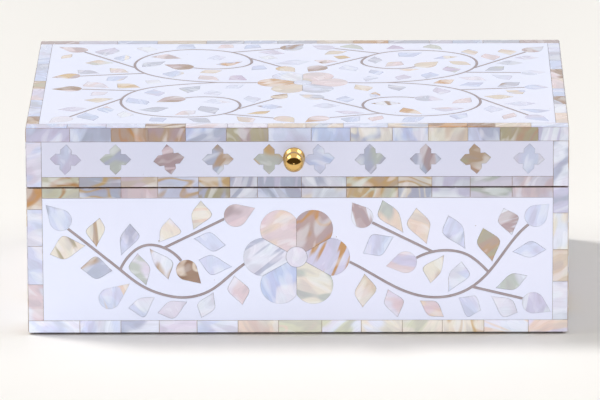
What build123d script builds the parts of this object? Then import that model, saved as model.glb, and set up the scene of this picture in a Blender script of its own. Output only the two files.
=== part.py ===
from build123d import *
import os
from math import asin, atan2, cos, dist, hypot, pi, radians, sin, sqrt

# Sizes of the whole box. It stands on z = 0, its front faces -Y and its middle is at x = 0, y = 0.
box_width = 305.0
box_depth = 203.0
box_height = 121.0
lid_height = 34.9
saw_cut = 0.7
edge_round = 1.2

# Carcass boards, the inlay on them and what lines them
inlay_thickness = 2.0
wall_board = 9.0
floor_board = 9.0
top_board = 9.0
lining_thickness = 1.5
lining_gap = 0.2
felt_thickness = 1.0
felt_inset = 3.0

# Strips of shell tiles round each face
side_strip = 8.9
top_side_strip = 7.3
top_cross_strip = 8.8
lid_upper_strip = 8.3
base_lower_strip = 7.4
seam_strip = 5.8
tile_joint = 0.16
tile_length = 22.0
tile_unevenness = 0.2
unevenness_step = 2.4

# Shell pieces and vine lines in the resin
glue_line = 0.08
vine_width = 1.5
vine_reach = 3.0
vine_dip = 1.0
vine_wall = 0.2
flower_eye = 6.0
petal_round = 0.37
quatrefoil_margin = 1.4
quatrefoil_arm = 3.15
quatrefoil_tilt = 4.0

# Knob and its screw
knob_shift = -1.8
knob_rise = 0.6
knob_foot_radius = 6.2
knob_foot_edge = 0.5
knob_dome_height = 1.9
knob_neck_radius = 2.7
knob_neck_length = 0.8
knob_ball_radius = 5.75
knob_screw_radius = 1.5
knob_screw_end_gap = 0.5
knob_screw_grip = 6.0
knob_screw_head_radius = 3.0
knob_screw_head_height = 2.0
knob_screw_sink = 2.3

# Stop hinges, let into both rims at the back
hinge_inset = 55.0
hinge_length = 30.0
hinge_leaf_margin = 1.0
hinge_leaf_thickness = 1.2
hinge_leaf_gap = 0.3
hinge_barrel_radius = 2.4
hinge_pin_radius = 1.1
hinge_pin_head = 0.8
hinge_pin_clearance = 0.05
hinge_back_clearance = 0.4
hinge_knuckle_gap = 0.3
hinge_recess_clearance = 0.15
hinge_opening = 100.0
stop_slack = 0.6
stop_tab_reach = 3.0
stop_tab_thickness = 1.1
stop_tab_clearance = 0.3
hinge_screw_radius = 1.1
hinge_screw_head_radius = 2.1
hinge_screw_head_height = 1.0
hinge_screw_length = 8.5
hinge_screw_spacing = 18.0
screw_clearance = 0.04

# Places that follow from the sizes
seam_height = box_height - lid_height
seam_low = seam_height - saw_cut / 2
seam_high = seam_height + saw_cut / 2
half_width = box_width / 2
half_depth = box_depth / 2
carcass_half_width = half_width - inlay_thickness
carcass_half_depth = half_depth - inlay_thickness
inner_half_width = carcass_half_width - wall_board
inner_half_depth = carcass_half_depth - wall_board
carcass_top = box_height - inlay_thickness
lid_wall_top = carcass_top - top_board
floor_top = felt_thickness + floor_board
pin_y = half_depth + hinge_barrel_radius + hinge_back_clearance
hinge_leaf_depth = inlay_thickness + wall_board - hinge_leaf_margin
lid_field_height = lid_height - saw_cut / 2 - seam_strip - lid_upper_strip
knob_z = seam_high + seam_strip + lid_field_height / 2 + knob_rise
quatrefoil_reach = lid_field_height / 2 - quatrefoil_margin
knob_screw_seat = inlay_thickness + wall_board - knob_screw_sink
leaf_low = hinge_leaf_gap / 2
leaf_high = leaf_low + hinge_leaf_thickness
hinge_places = {"left": half_width - hinge_inset, "right": hinge_inset - half_width}

# Each drawing below is a panel with its field from low to high, and its flower's centre and reach.
# A leaf is its tip and three more corners, a bud is its round end's centre, its radius and its tip,
# and a vine is the points that its line runs through.
front_drawing = {
    "low": (-143.6, 8.4),
    "high": (143.6, 80.0),
    "centre": (-0.6, 45.5),
    "reach": 30.0,
    "leaves": [
        ((-119.5, 52.3), (-132.5, 57.8), (-139.6, 47.3), (-132.3, 44.5)),
        ((-113.3, 51.6), (-108.6, 63.5), (-111.3, 68.6), (-119.0, 61.0)),
        ((-104.4, 37.6), (-113.5, 33.0), (-122.5, 39.2), (-114.0, 46.0)),
        ((-99.4, 46.6), (-89.2, 58.6), (-94.3, 65.2), (-99.6, 57.6)),
        ((-85.5, 29.0), (-83.4, 39.6), (-90.2, 47.8), (-95.2, 40.0)),
        ((-83.4, 50.6), (-80.3, 40.5), (-73.0, 32.5), (-70.4, 42.3)),
        ((-77.9, 54.2), (-76.8, 62.5), (-71.8, 68.4), (-65.6, 60.4)),
        ((-58.6, 61.6), (-59.3, 71.5), (-54.3, 78.5), (-48.2, 70.5)),
        ((-58.4, 56.3), (-49.5, 60.0), (-40.5, 52.5), (-46.5, 49.0)),
        ((-36.9, 39.8), (-49.3, 35.4), (-55.8, 44.0), (-50.0, 46.6)),
        ((-35.8, 34.6), (-39.6, 26.8), (-31.3, 17.5), (-27.4, 26.0)),
        ((-47.6, 24.8), (-56.6, 17.8), (-54.5, 9.9), (-47.3, 15.0)),
        ((-62.5, 19.4), (-72.8, 19.4), (-79.3, 12.8), (-70.5, 9.6)),
        ((-80.8, 22.2), (-89.5, 21.3), (-95.8, 15.8), (-87.3, 10.4)),
        ((59.5, 59.6), (56.3, 72.0), (47.8, 78.6), (45.2, 70.0)),
        ((72.6, 52.9), (74.2, 66.0), (66.8, 74.0), (61.6, 65.0)),
        ((54.0, 57.2), (41.5, 58.0), (36.9, 47.5), (47.0, 46.5)),
        ((82.5, 46.5), (80.3, 36.0), (74.8, 30.0), (70.5, 38.5)),
        ((84.9, 24.9), (96.8, 35.5), (92.3, 42.6), (85.7, 36.0)),
        ((94.4, 50.0), (92.0, 64.3), (84.8, 69.6), (81.6, 60.0)),
        ((109.6, 42.6), (113.6, 55.4), (104.3, 62.3), (101.0, 54.0)),
        ((120.6, 58.0), (124.0, 69.0), (115.8, 73.8), (112.8, 66.3)),
        ((120.8, 48.3), (132.0, 54.4), (140.0, 49.5), (131.0, 45.0)),
        ((111.4, 27.0), (121.0, 35.5), (129.5, 34.3), (122.4, 26.4)),
        ((109.0, 22.4), (121.4, 19.2), (123.9, 12.6), (116.3, 10.0)),
        ((90.6, 21.4), (100.6, 22.0), (103.2, 14.0), (96.0, 10.2)),
        ((68.8, 19.8), (78.4, 18.8), (82.3, 10.2), (73.6, 11.2)),
        ((50.8, 26.4), (59.6, 19.6), (56.3, 10.0), (48.8, 18.3)),
        ((37.6, 35.6), (44.2, 27.0), (36.5, 15.8), (32.2, 23.5)),
    ],
    "buds": [
        ((-133.3, 67.3), 6.3, (-141.6, 76.2)),
        ((-106.3, 21.3), 6.1, (-94.6, 30.2)),
        ((-62.6, 38.0), 6.0, (-54.5, 30.0)),
        ((-34.8, 69.8), 6.6, (-23.8, 74.2)),
        ((36.4, 68.6), 6.2, (30.8, 77.2)),
        ((60.8, 42.3), 6.3, (49.7, 40.0)),
        ((133.9, 69.2), 6.3, (141.6, 76.2)),
        ((132.6, 18.4), 6.2, (142.6, 13.2)),
    ],
    "vines": [
        [(-129, 61.4), (-115, 50.6), (-100, 38.2), (-88, 28.8), (-76, 23.6), (-64, 21.9)]
        + [(-50, 25.6), (-40, 33.2), (-32.6, 41.6)],
        [(-100, 38.2), (-95, 46.4), (-86, 52.4), (-75.2, 51.0), (-66.2, 44.4)],
        [(-75.2, 51.0), (-42.0, 67.8)],
        [(30.6, 42.8), (48, 31.7), (62, 24.7), (78, 21.7), (95, 25.9), (108, 37), (118, 50.8)]
        + [(128.8, 62.4)],
        [(107.6, 36.4), (102.6, 41.4), (95.6, 46.6), (85, 49.2), (76, 48.4), (68.0, 45.0)],
        [(76.0, 48.4), (42.8, 65.0)],
        [(98.4, 27.8), (125.4, 21.8)],
    ],
}

side_half_drawing = {
    "low": (-92.6, 8.4),
    "high": (92.6, 80.0),
    "centre": (0.0, 45.5),
    "reach": 30.0,
    "leaves": [
        ((36.5, 35.2), (32.6, 24.0), (37.5, 13.5), (43.0, 24.0)),
        ((51.0, 28.2), (47.0, 19.0), (53.5, 10.8), (58.0, 20.0)),
        ((67.2, 28.4), (63.6, 19.0), (69.5, 10.6), (75.0, 20.0)),
        ((39.5, 50.5), (33.5, 60.0), (37.0, 74.0), (42.6, 62.0)),
        ((66.5, 42.0), (61.6, 50.0), (65.5, 62.0), (71.5, 52.0)),
        ((62.5, 65.4), (59.8, 72.0), (66.0, 77.8), (70.0, 71.6)),
        ((84.4, 40.5), (90.0, 48.0), (87.6, 60.0), (84.0, 51.0)),
        ((45.5, 40.0), (50.5, 46.0), (56.5, 40.5), (51.0, 36.0)),
    ],
    "buds": [
        ((78.0, 66.6), 5.9, (85.4, 74.6)),
        ((52.4, 61.2), 5.9, (47.0, 70.6)),
        ((84.2, 18.4), 5.4, (89.0, 10.6)),
    ],
    "vines": [
        [(31.3, 44.0), (44, 34.8), (60, 31.0), (73, 36.6), (80, 48), (79.4, 59.8)],
        [(66, 32.4), (55.0, 54.2)],
        [(72.0, 35.8), (81.6, 24.4)],
    ],
}

top_drawing = {
    "low": (-145.2, -89.9),
    "high": (145.2, 95.5),
    "centre": (2.3, 2.8),
    "reach": 26.0,
    "leaves": [
        ((-113.0, 67.0), (-119.6, 76.6), (-108.6, 87.0), (-105.3, 79.0)),
        ((-89.0, 74.6), (-83.4, 82.0), (-87.6, 89.4), (-95.2, 86.0)),
        ((-72.4, 84.2), (-69.6, 93.6), (-62.6, 94.0), (-61.2, 84.8)),
        ((-48.4, 84.6), (-45.4, 93.4), (-39.2, 93.8), (-38.8, 86.4)),
        ((-32.8, 82.8), (-30.6, 92.6), (-24.4, 94.0), (-22.8, 86.4)),
        ((-24.6, 75.2), (-15.0, 80.0), (-8.4, 71.0), (-15.6, 69.4)),
        ((-24.4, 63.8), (-17.0, 66.6), (-12.2, 60.4), (-19.4, 57.6)),
        ((-14.4, 47.4), (-3.6, 56.2), (6.4, 52.6), (-1.0, 44.6)),
        ((-27.6, 32.6), (-26.4, 41.6), (-20.6, 45.0), (-19.2, 34.2)),
        ((-57.4, 26.2), (-54.6, 32.6), (-44.4, 31.6), (-48.4, 25.2)),
        ((-45.6, 8.2), (-48.8, 17.2), (-57.0, 20.4), (-57.8, 12.4)),
        ((-40.4, 9.4), (-38.4, 19.4), (-32.8, 20.0), (-30.0, 8.8)),
        ((-72.4, 14.8), (-78.8, 24.2), (-71.0, 31.4), (-66.6, 26.8)),
        ((-78.6, 3.4), (-80.6, 9.6), (-88.4, 8.2), (-86.4, 0.6)),
        ((-86.6, 64.4), (-77.6, 70.6), (-68.4, 60.4), (-79.0, 59.6)),
        ((-91.2, 40.4), (-90.0, 50.0), (-77.6, 53.6), (-82.0, 43.6)),
        ((-54.0, 60.0), (-48.4, 67.4), (-42.8, 63.6), (-46.4, 56.2)),
        ((-32.6, 52.8), (-41.2, 42.4), (-48.6, 46.0), (-43.4, 50.6)),
        ((-103.0, 54.2), (-108.2, 61.4), (-101.4, 69.0), (-98.0, 63.4)),
        ((-107.6, 50.0), (-117.2, 56.8), (-124.6, 50.4), (-119.2, 45.4)),
        ((-139.0, 60.6), (-138.0, 68.0), (-132.6, 71.6), (-133.4, 63.4)),
        ((-115.0, 25.2), (-119.4, 32.0), (-128.2, 33.6), (-126.8, 25.0)),
        ((-98.2, 27.2), (-102.2, 35.8), (-109.8, 37.8), (-108.4, 27.4)),
        ((-98.4, 18.8), (-109.4, 17.4), (-110.6, 7.6), (-101.8, 9.0)),
        ((-108.4, -8.6), (-113.4, 3.0), (-121.6, 6.4), (-123.6, -4.0)),
        ((-90.4, -8.0), (-95.8, 1.0), (-104.2, 1.6), (-103.2, -9.0)),
        ((-82.8, -12.2), (-76.2, -20.4), (-79.6, -28.0), (-88.0, -20.0)),
        ((-96.8, -30.8), (-84.4, -41.0), (-85.8, -47.0), (-97.4, -41.4)),
        ((-90.2, -59.0), (-80.0, -52.4), (-72.8, -54.6), (-80.0, -63.8)),
        ((-56.2, -4.2), (-57.6, -15.0), (-63.2, -20.6), (-68.2, -9.6)),
        ((-45.8, -26.4), (-54.0, -22.0), (-49.8, -14.6), (-43.4, -20.4)),
        ((-42.4, -10.2), (-39.6, -3.2), (-31.6, -2.0), (-33.6, -9.4)),
        ((-37.8, -42.2), (-49.0, -35.0), (-54.0, -41.6), (-46.0, -44.8)),
        ((-46.8, -68.8), (-45.0, -55.6), (-55.2, -50.2), (-56.4, -59.0)),
        ((-69.6, -71.0), (-64.4, -61.4), (-57.6, -60.4), (-58.6, -68.8)),
        ((-98.6, -61.6), (-92.4, -70.4), (-99.4, -76.6), (-102.0, -69.6)),
        ((-82.8, -76.4), (-73.8, -77.8), (-75.6, -86.6), (-82.8, -84.2)),
        ((-62.2, -78.4), (-51.2, -78.2), (-48.4, -88.0), (-56.0, -87.4)),
        ((-34.4, -74.4), (-24.0, -79.0), (-24.8, -88.0), (-31.6, -86.0)),
        ((-29.0, -69.0), (-22.4, -63.2), (-15.2, -61.6), (-18.2, -68.6)),
        ((-23.4, -50.6), (-15.0, -47.6), (-8.2, -53.4), (-16.0, -57.8)),
        ((-24.8, -43.4), (-31.0, -34.6), (-28.4, -27.4), (-21.2, -33.4)),
        ((-104.8, -33.2), (-114.0, -32.0), (-122.0, -36.2), (-114.0, -42.0)),
        ((-119.6, -55.0), (-128.0, -52.0), (-136.0, -57.8), (-126.4, -62.0)),
        ((-108.2, -50.0), (-104.2, -58.6), (-107.6, -65.8), (-113.6, -58.4)),
        ((-119.4, -64.4), (-112.0, -75.0), (-114.6, -83.2), (-124.6, -74.2)),
        ((-108.6, -17.6), (-117.4, -17.8), (-118.6, -26.4), (-110.6, -24.0)),
        ((37.6, 80.4), (34.8, 90.0), (30.4, 94.0), (23.4, 88.4)),
        ((61.6, 81.6), (59.0, 87.6), (54.4, 91.4), (50.6, 82.2)),
        ((83.4, 80.0), (81.4, 89.0), (76.6, 93.4), (72.0, 87.0)),
        ((101.8, 66.4), (104.0, 75.0), (99.0, 81.8), (94.0, 74.2)),
        ((122.8, 66.8), (126.6, 75.4), (117.8, 81.0), (115.6, 75.6)),
        ((112.8, 53.8), (116.6, 63.4), (108.2, 70.2), (105.6, 63.8)),
        ((124.6, 60.0), (132.0, 65.0), (139.6, 60.4), (132.4, 56.0)),
        ((114.2, 46.8), (121.0, 53.4), (130.0, 48.0), (123.4, 43.0)),
        ((107.2, 29.2), (112.0, 39.2), (118.8, 39.6), (117.4, 30.2)),
        ((111.0, 20.0), (122.8, 17.6), (121.2, 8.0), (114.6, 12.0)),
        ((91.6, 14.6), (104.2, 15.2), (108.0, 6.8), (96.6, 8.4)),
        ((77.0, 0.4), (82.0, 8.4), (89.6, 9.2), (87.0, -0.6)),
        ((73.4, 11.6), (70.4, 20.0), (76.0, 26.4), (81.0, 20.0)),
        ((90.0, 25.4), (93.4, 33.6), (85.6, 40.4), (82.8, 32.8)),
        ((57.4, 8.0), (55.4, 15.4), (60.6, 21.0), (65.0, 14.8)),
        ((38.6, 5.2), (37.2, 12.4), (40.0, 17.8), (45.8, 13.8)),
        ((46.4, 20.2), (40.2, 26.4), (41.4, 32.8), (48.8, 27.2)),
        ((32.8, 29.6), (22.8, 35.6), (26.6, 44.6), (34.2, 37.0)),
        ((57.8, 32.6), (64.0, 35.4), (69.6, 33.2), (62.6, 29.4)),
        ((43.6, 64.2), (48.2, 55.4), (44.2, 47.4), (39.8, 54.2)),
        ((71.6, 73.2), (57.6, 72.4), (57.8, 63.6), (66.0, 63.2)),
        ((77.6, 58.8), (85.0, 65.4), (92.4, 62.8), (84.0, 57.6)),
        ((99.8, 43.0), (96.0, 51.4), (86.6, 52.4), (89.6, 45.0)),
        ((49.6, 39.8), (52.4, 50.4), (59.4, 51.8), (60.4, 44.0)),
        ((19.6, 64.4), (26.0, 66.4), (30.0, 61.2), (23.6, 58.0)),
        ((22.4, 52.6), (13.4, 47.6), (8.2, 55.4), (16.0, 56.4)),
        ((27.8, 76.8), (17.6, 77.8), (14.2, 68.8), (23.8, 71.0)),
        ((32.6, -1.6), (42.6, -9.0), (39.6, -17.4), (32.4, -12.0)),
        ((51.4, -2.4), (61.6, -8.6), (57.6, -17.0), (51.6, -10.0)),
        ((78.6, -8.8), (87.2, -18.4), (81.2, -25.4), (76.8, -17.2)),
        ((44.0, -18.8), (46.8, -27.4), (41.6, -31.6), (40.8, -24.0)),
        ((28.0, -43.6), (31.8, -36.0), (27.0, -28.2), (21.6, -35.2)),
        ((24.0, -50.4), (14.6, -44.8), (8.2, -51.0), (16.0, -56.0)),
        ((38.2, -67.6), (29.0, -62.4), (20.8, -63.2), (26.6, -69.0)),
        ((35.4, -74.2), (33.8, -86.0), (28.0, -88.2), (24.4, -80.0)),
        ((47.8, -73.2), (48.4, -80.0), (42.2, -86.0), (39.6, -79.0)),
        ((71.6, -77.0), (67.4, -86.4), (58.4, -88.2), (61.0, -77.6)),
        ((95.6, -67.6), (94.8, -78.0), (89.6, -82.0), (85.6, -74.2)),
        ((70.6, -70.2), (57.6, -64.8), (59.6, -55.2), (66.0, -60.0)),
        ((94.6, -57.4), (85.0, -54.8), (75.2, -57.0), (82.6, -63.8)),
        ((98.4, -32.4), (98.0, -43.6), (87.2, -46.0), (90.0, -38.2)),
        ((41.2, -45.8), (50.0, -40.2), (58.8, -45.4), (50.6, -50.0)),
        ((105.6, -29.8), (116.0, -26.6), (123.0, -31.0), (113.6, -36.4)),
        ((109.4, -51.0), (116.2, -60.0), (109.2, -66.8), (105.2, -58.8)),
        ((122.0, -67.2), (123.6, -75.0), (116.2, -82.2), (115.4, -75.0)),
        ((117.0, -47.0), (127.0, -42.4), (135.4, -46.2), (127.4, -52.0)),
        ((125.2, -59.4), (135.0, -59.6), (142.8, -62.6), (136.0, -67.4)),
        ((118.2, -15.4), (129.4, -17.0), (128.0, -25.4), (121.0, -22.8)),
        ((113.6, -8.6), (118.0, 2.0), (127.2, 2.6), (125.0, -6.0)),
        ((103.2, -8.2), (105.8, 1.8), (97.2, 2.4), (92.2, -5.0)),
    ],
    "buds": [
        ((-130.0, 81.4), 6.2, (-141.4, 88.8)),
        ((-131.8, 19.4), 6.0, (-142.6, 16.2)),
        ((-67.6, 40.2), 6.6, (-78.4, 46.0)),
        ((-5.0, 85.4), 6.6, (2.2, 94.4)),
        ((-8.0, 35.4), 5.6, (-2.2, 28.0)),
        ((-130.0, -10.4), 5.9, (-141.6, -11.0)),
        ((-70.6, -34.6), 6.6, (-80.8, -41.6)),
        ((-10.8, -30.2), 4.9, (-6.3, -22.2)),
        ((-7.6, -79.6), 5.9, (-1.6, -88.2)),
        ((-132.4, -79.2), 6.2, (-139.8, -87.6)),
        ((15.0, 85.4), 5.4, (7.0, 90.8)),
        ((10.6, 37.0), 6.0, (5.4, 28.4)),
        ((135.6, 79.0), 5.9, (142.8, 87.4)),
        ((133.8, 24.6), 5.4, (142.8, 26.0)),
        ((73.0, 43.6), 6.4, (80.8, 51.6)),
        ((135.0, -9.0), 5.4, (143.4, -9.6)),
        ((133.6, -77.6), 5.6, (141.8, -86.8)),
        ((9.4, -31.0), 5.6, (0.4, -24.6)),
        ((12.2, -79.2), 6.0, (4.4, -87.6)),
        ((72.6, -34.2), 6.2, (82.8, -38.4)),
    ],
    "vines": [
        [(-25.2, 3), (-46, 3.6), (-72, 11.3), (-90, 27), (-95.4, 46), (-88, 67.5), (-72, 80)]
        + [(-54, 81), (-38.5, 74), (-28.8, 60), (-29.4, 44.6), (-42, 36.2), (-60, 38.4)],
        [(-46, 3.6), (-72, -2.5), (-90, -12.5), (-100, -32), (-98, -54), (-86, -69.5), (-66, -75.3)]
        + [(-47, -72), (-36, -61.5), (-32.8, -47), (-38.5, -34.8), (-50, -29.8), (-63, -32)],
        [(29.4, 2.4), (50, 2.4), (74, 9.3), (93, 23), (103, 46), (97.8, 65.2), (84, 75.4)]
        + [(67, 78.6), (50, 74), (38.5, 61), (37, 46), (47, 36.6), (65.6, 39.7)],
        [(50, 2.4), (74, -3), (91, -13.5), (102, -31), (102.5, -50.5), (92, -66), (74, -73.7)]
        + [(56, -72.5), (43, -64.5), (36.8, -49), (42.5, -35.3), (54, -31), (65.4, -33)],
        [(-39.5, 74.8), (-12.8, 83.4)],
        [(-28.8, 60.6), (-11, 41.4)],
        [(-94.6, 38.2), (-125.3, 76.2)],
        [(-89, 25.4), (-125, 19)],
        [(-92.5, -15.4), (-123, -11.4)],
        [(-99.8, -32.6), (-127.9, -73.6)],
        [(-33.5, -57.2), (-14.0, -35.4)],
        [(-41.9, -68.4), (-14.6, -77.9)],
        [(46.6, 71.6), (21.4, 83.2)],
        [(39.4, 64.2), (16.6, 41.8)],
        [(101.4, 36.4), (131.4, 73.2)],
        [(95.5, 26.2), (127.4, 25)],
        [(92.6, -14.8), (128.6, -9.6)],
        [(102.1, -32.2), (129.4, -71.9)],
        [(38.0, -57.2), (14.8, -35.2)],
        [(46.6, -68.0), (18.9, -77.3)],
    ],
}

# Ten quatrefoils on the lid's front: place along the front and tilt in degrees, as a hand sets them
front_quatrefoils = [(-130, -3), (-102, 0), (-72, 8), (-44.5, 1), (-15.8, 0)]
front_quatrefoils += [(12.3, 4), (41, 3), (72, 0), (100, 5), (130, -3)]
front_quatrefoil_row = 143.6

# Where the tiles of the seen strips are cut, as shares of the strip's length
seam_cuts = [0.073, 0.155, 0.227, 0.307, 0.368, 0.422, 0.508, 0.596, 0.697, 0.763, 0.838, 0.920]
front_lower_cuts = [0.096, 0.172, 0.243, 0.313, 0.389, 0.464, 0.544, 0.617, 0.693, 0.767, 0.844, 0.926]
front_upper_cuts = [0.082, 0.158, 0.226, 0.295, 0.370, 0.447, 0.526, 0.598, 0.675, 0.741, 0.814, 0.873, 0.943]
front_left_cuts = [0.273, 0.564, 0.842]
front_right_cuts = [0.292, 0.531, 0.807]
top_front_cuts = [0.077, 0.149, 0.221, 0.295, 0.372, 0.446, 0.516, 0.585, 0.667, 0.741, 0.813, 0.864, 0.930]
top_back_cuts = [0.074, 0.149, 0.226, 0.320, 0.392, 0.457, 0.533, 0.602, 0.670, 0.749, 0.793, 0.852, 0.923]
top_left_cuts = [0.091, 0.188, 0.292, 0.430, 0.528, 0.636, 0.740, 0.860]
top_right_cuts = [0.118, 0.226, 0.323, 0.420, 0.547, 0.663, 0.773, 0.884]


def block(low, high):
    """A box between two corners."""
    size = [b - a for a, b in zip(low, high)]
    return Pos(*low) * Box(*size, align=(Align.MIN, Align.MIN, Align.MIN))


def uneven_cuts(length, turn):
    """Shares at which a strip is cut into tiles of about one length, uneven as a hand cuts them."""
    count = max(1, round(length / tile_length))
    return [(i + tile_unevenness * sin(unevenness_step * i + turn)) / count for i in range(1, count)]


class Panel:
    """One covered face, drawn on its own plane with u to the right and v up, or to the back on top."""

    def __init__(self, plane, low, high, strips, mitres):
        self.plane = plane
        self.low = low
        self.high = high
        self.mitres = mitres
        left, lower, right, upper = strips
        self.field_low = (low[0] + left, low[1] + lower)
        self.field_high = (high[0] - right, high[1] - upper)

    def region(self):
        """The face's whole inlay layer, mitred where it meets the next face and rounded at the edges."""
        joint = tile_joint / 2
        rings = []
        for depth in (0, inlay_thickness):
            back = [(joint + depth) * m for m in self.mitres]
            u0, v0 = self.low[0] + back[0], self.low[1] + back[1]
            u1, v1 = self.high[0] - back[2], self.high[1] - back[3]
            corners = [(u0, v0, -depth), (u1, v0, -depth), (u1, v1, -depth), (u0, v1, -depth)]
            rings.append(Wire.make_polygon([Vector(*c) for c in corners], close=True))
        layer = Solid.make_loft(rings, ruled=True)
        return layer & (self.plane.location.inverse() * rounded_block())

    def place(self, solids):
        """Drawn solids, put where the face is."""
        return Compound(children=[self.plane.location * s for s in solids])


def rounded_block():
    """The box's outside with every edge eased."""
    outside = block((-half_width, -half_depth, felt_thickness), (half_width, half_depth, box_height))
    return fillet(outside.edges(), edge_round)


def strip_tiles(panel, region, low, high, cuts):
    """One strip of tiles, cut across its longer side."""
    joint = tile_joint / 2
    along = 0 if high[0] - low[0] > high[1] - low[1] else 1
    length = high[along] - low[along]
    ends = [low[along]] + [low[along] + share * length for share in cuts] + [high[along]]
    tiles = []
    for start, end in zip(ends, ends[1:]):
        a = [low[0] + joint, low[1] + joint]
        b = [high[0] - joint, high[1] - joint]
        a[along] = start + joint
        b[along] = end - joint
        for i in range(2):
            if abs(a[i] - panel.low[i]) < tile_joint and panel.mitres[i]:
                a[i] -= edge_round
            if abs(b[i] - panel.high[i]) < tile_joint and panel.mitres[i + 2]:
                b[i] += edge_round
        blank = block((a[0], a[1], -inlay_thickness), (b[0], b[1], edge_round))
        tiles += (blank & region).solids()
    return tiles


def wall_tiles(panel, full_row, cross_cuts, seam_row_cuts, left_cuts, right_cuts):
    """Tiles of a wall face: a full row away from the seam, two columns and a row along the seam."""
    region = panel.region()
    low, high = panel.low, panel.high
    field_low, field_high = panel.field_low, panel.field_high
    if full_row == "lower":
        column_low, column_high = field_low[1], high[1]
        full = (low, (high[0], field_low[1]))
        seam = ((field_low[0], field_high[1]), (field_high[0], high[1]))
    else:
        column_low, column_high = low[1], field_high[1]
        full = ((low[0], field_high[1]), high)
        seam = ((field_low[0], low[1]), (field_high[0], field_low[1]))
    tiles = strip_tiles(panel, region, *full, cross_cuts)
    tiles += strip_tiles(panel, region, *seam, seam_row_cuts)
    tiles += strip_tiles(panel, region, (low[0], column_low), (field_low[0], column_high), left_cuts)
    tiles += strip_tiles(panel, region, (field_high[0], column_low), (high[0], column_high), right_cuts)
    return tiles


def top_tiles(panel):
    """Tiles round the top: full rows at the front and back, and a column at each side."""
    region = panel.region()
    low, high = panel.low, panel.high
    field_low, field_high = panel.field_low, panel.field_high
    tiles = strip_tiles(panel, region, low, (high[0], field_low[1]), top_front_cuts)
    tiles += strip_tiles(panel, region, (low[0], field_high[1]), high, top_back_cuts)
    left = ((low[0], field_low[1]), (field_low[0], field_high[1]))
    right = ((field_high[0], field_low[1]), (high[0], field_high[1]))
    tiles += strip_tiles(panel, region, *left, top_left_cuts)
    tiles += strip_tiles(panel, region, *right, top_right_cuts)
    return tiles


class Drawing:
    """A pattern stretched from the panel it was drawn on to the panel that it covers."""

    def __init__(self, drawn, panel, mirrored=False):
        self.drawn = drawn
        self.panel = panel
        self.mirrored = mirrored
        low, high = drawn["low"], drawn["high"]
        self.rise = (panel.field_high[1] - panel.field_low[1]) / (high[1] - low[1])
        self.reach = drawn["reach"] * self.rise
        self.centre = self.fit(drawn["centre"])

    def run(self, u):
        """How much longer than drawn the way from the flower's rim to the field's edge is, on u's side."""
        drawn, panel = self.drawn, self.panel
        centre = drawn["centre"][0]
        drawn_edge = drawn["low"][0] if u < centre else drawn["high"][0]
        edge = panel.field_low[0] if u < centre else panel.field_high[0]
        return (abs(edge - centre) - self.reach) / (abs(drawn_edge - centre) - drawn["reach"])

    def fit(self, point):
        """A drawn point's place on the panel. Sideways it is measured from the flower's rim."""
        centre, reach = self.drawn["centre"][0], self.drawn["reach"]
        out = abs(point[0] - centre)
        if out > reach:
            out = self.reach + (out - reach) * self.run(point[0])
        else:
            out *= self.rise
        u = centre - out if point[0] < centre else centre + out
        v = self.panel.field_low[1] + (point[1] - self.drawn["low"][1]) * self.rise
        return (-u if self.mirrored else u, v)

    def leaves(self, inset):
        return [leaf_outline([self.fit(p) for p in leaf], inset) for leaf in self.drawn["leaves"]]

    def fitted_buds(self):
        found = []
        for centre, radius, tip in self.drawn["buds"]:
            radius *= min(1, self.rise, self.run(centre[0]))
            found.append((self.fit(centre), radius, self.fit(tip)))
        return found

    def buds(self, inset):
        return [bud_outline(centre, radius, tip, inset) for centre, radius, tip in self.fitted_buds()]

    def run_up(self, end):
        """A vine's end, moved just into the bud or the flower that it nearly reaches."""
        rounds = [(centre, radius) for centre, radius, tip in self.fitted_buds()]
        for centre, radius in rounds + [(self.centre, self.reach)]:
            away = [e - c for e, c in zip(end, centre)]
            distance = hypot(*away)
            if radius < distance < radius + vine_reach:
                keep = (radius - vine_dip) / distance
                return (centre[0] + away[0] * keep, centre[1] + away[1] * keep)
        return end

    def vine_faces(self, width, trim):
        """The vines, each run up to a thin wall of resin round the buds and the flower."""
        faces = []
        for vine in self.drawn["vines"]:
            points = [self.fit(p) for p in vine]
            points[0], points[-1] = self.run_up(points[0]), self.run_up(points[-1])
            faces.append(stroke(points, width, trim))
        wall = vine_wall + trim
        stops = [Face(outline) for outline in self.buds(-wall)]
        stops.append(Face(flower_hole(self.centre, self.reach + wall)))
        joined = faces[0].fuse(*faces[1:])
        return joined.cut(*stops).faces()


def leaf_outline(corners, inset):
    """A leaf with straight flanks from its first corner, full shoulders and a blunt third corner."""
    middle = [sum(c[i] for c in corners) / 4 for i in range(2)]
    tip, left, end, right = corners
    length = hypot(end[0] - tip[0], end[1] - tip[1])
    across = abs((end[0] - tip[0]) * (right[1] - left[1]) - (end[1] - tip[1]) * (right[0] - left[0]))
    keep = 1 - inset / (0.3 * across / length)
    tip, left, end, right = [
        (middle[0] + (c[0] - middle[0]) * keep, middle[1] + (c[1] - middle[1]) * keep) for c in corners
    ]

    def flank(side):
        reach, rest = dist(tip, side), dist(side, end)
        leaving = [(s - t) / reach for t, s in zip(tip, side)]
        closing = [(e - s) / rest for s, e in zip(side, end)]
        return Spline(tip, side, end, tangents=[leaving, closing])

    return Wire([flank(left), flank(right).reversed()])


def bud_outline(centre, radius, tip, inset):
    """A bud: round at its stalk, with straight flanks that run to its tip."""
    keep = (radius - inset) / radius
    radius -= inset
    away = [(t - c) * keep for t, c in zip(tip, centre)]
    distance = hypot(*away)
    heading = atan2(away[1], away[0])
    opening = pi / 2 - asin(radius / distance)

    def on_rim(angle):
        return (centre[0] + radius * cos(angle), centre[1] + radius * sin(angle))

    point = (centre[0] + away[0], centre[1] + away[1])
    first, last = on_rim(heading + opening), on_rim(heading - opening)
    round_end = ThreePointArc(first, on_rim(heading + pi), last)
    return Wire([round_end, Line(last, point), Line(point, first)])


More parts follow.
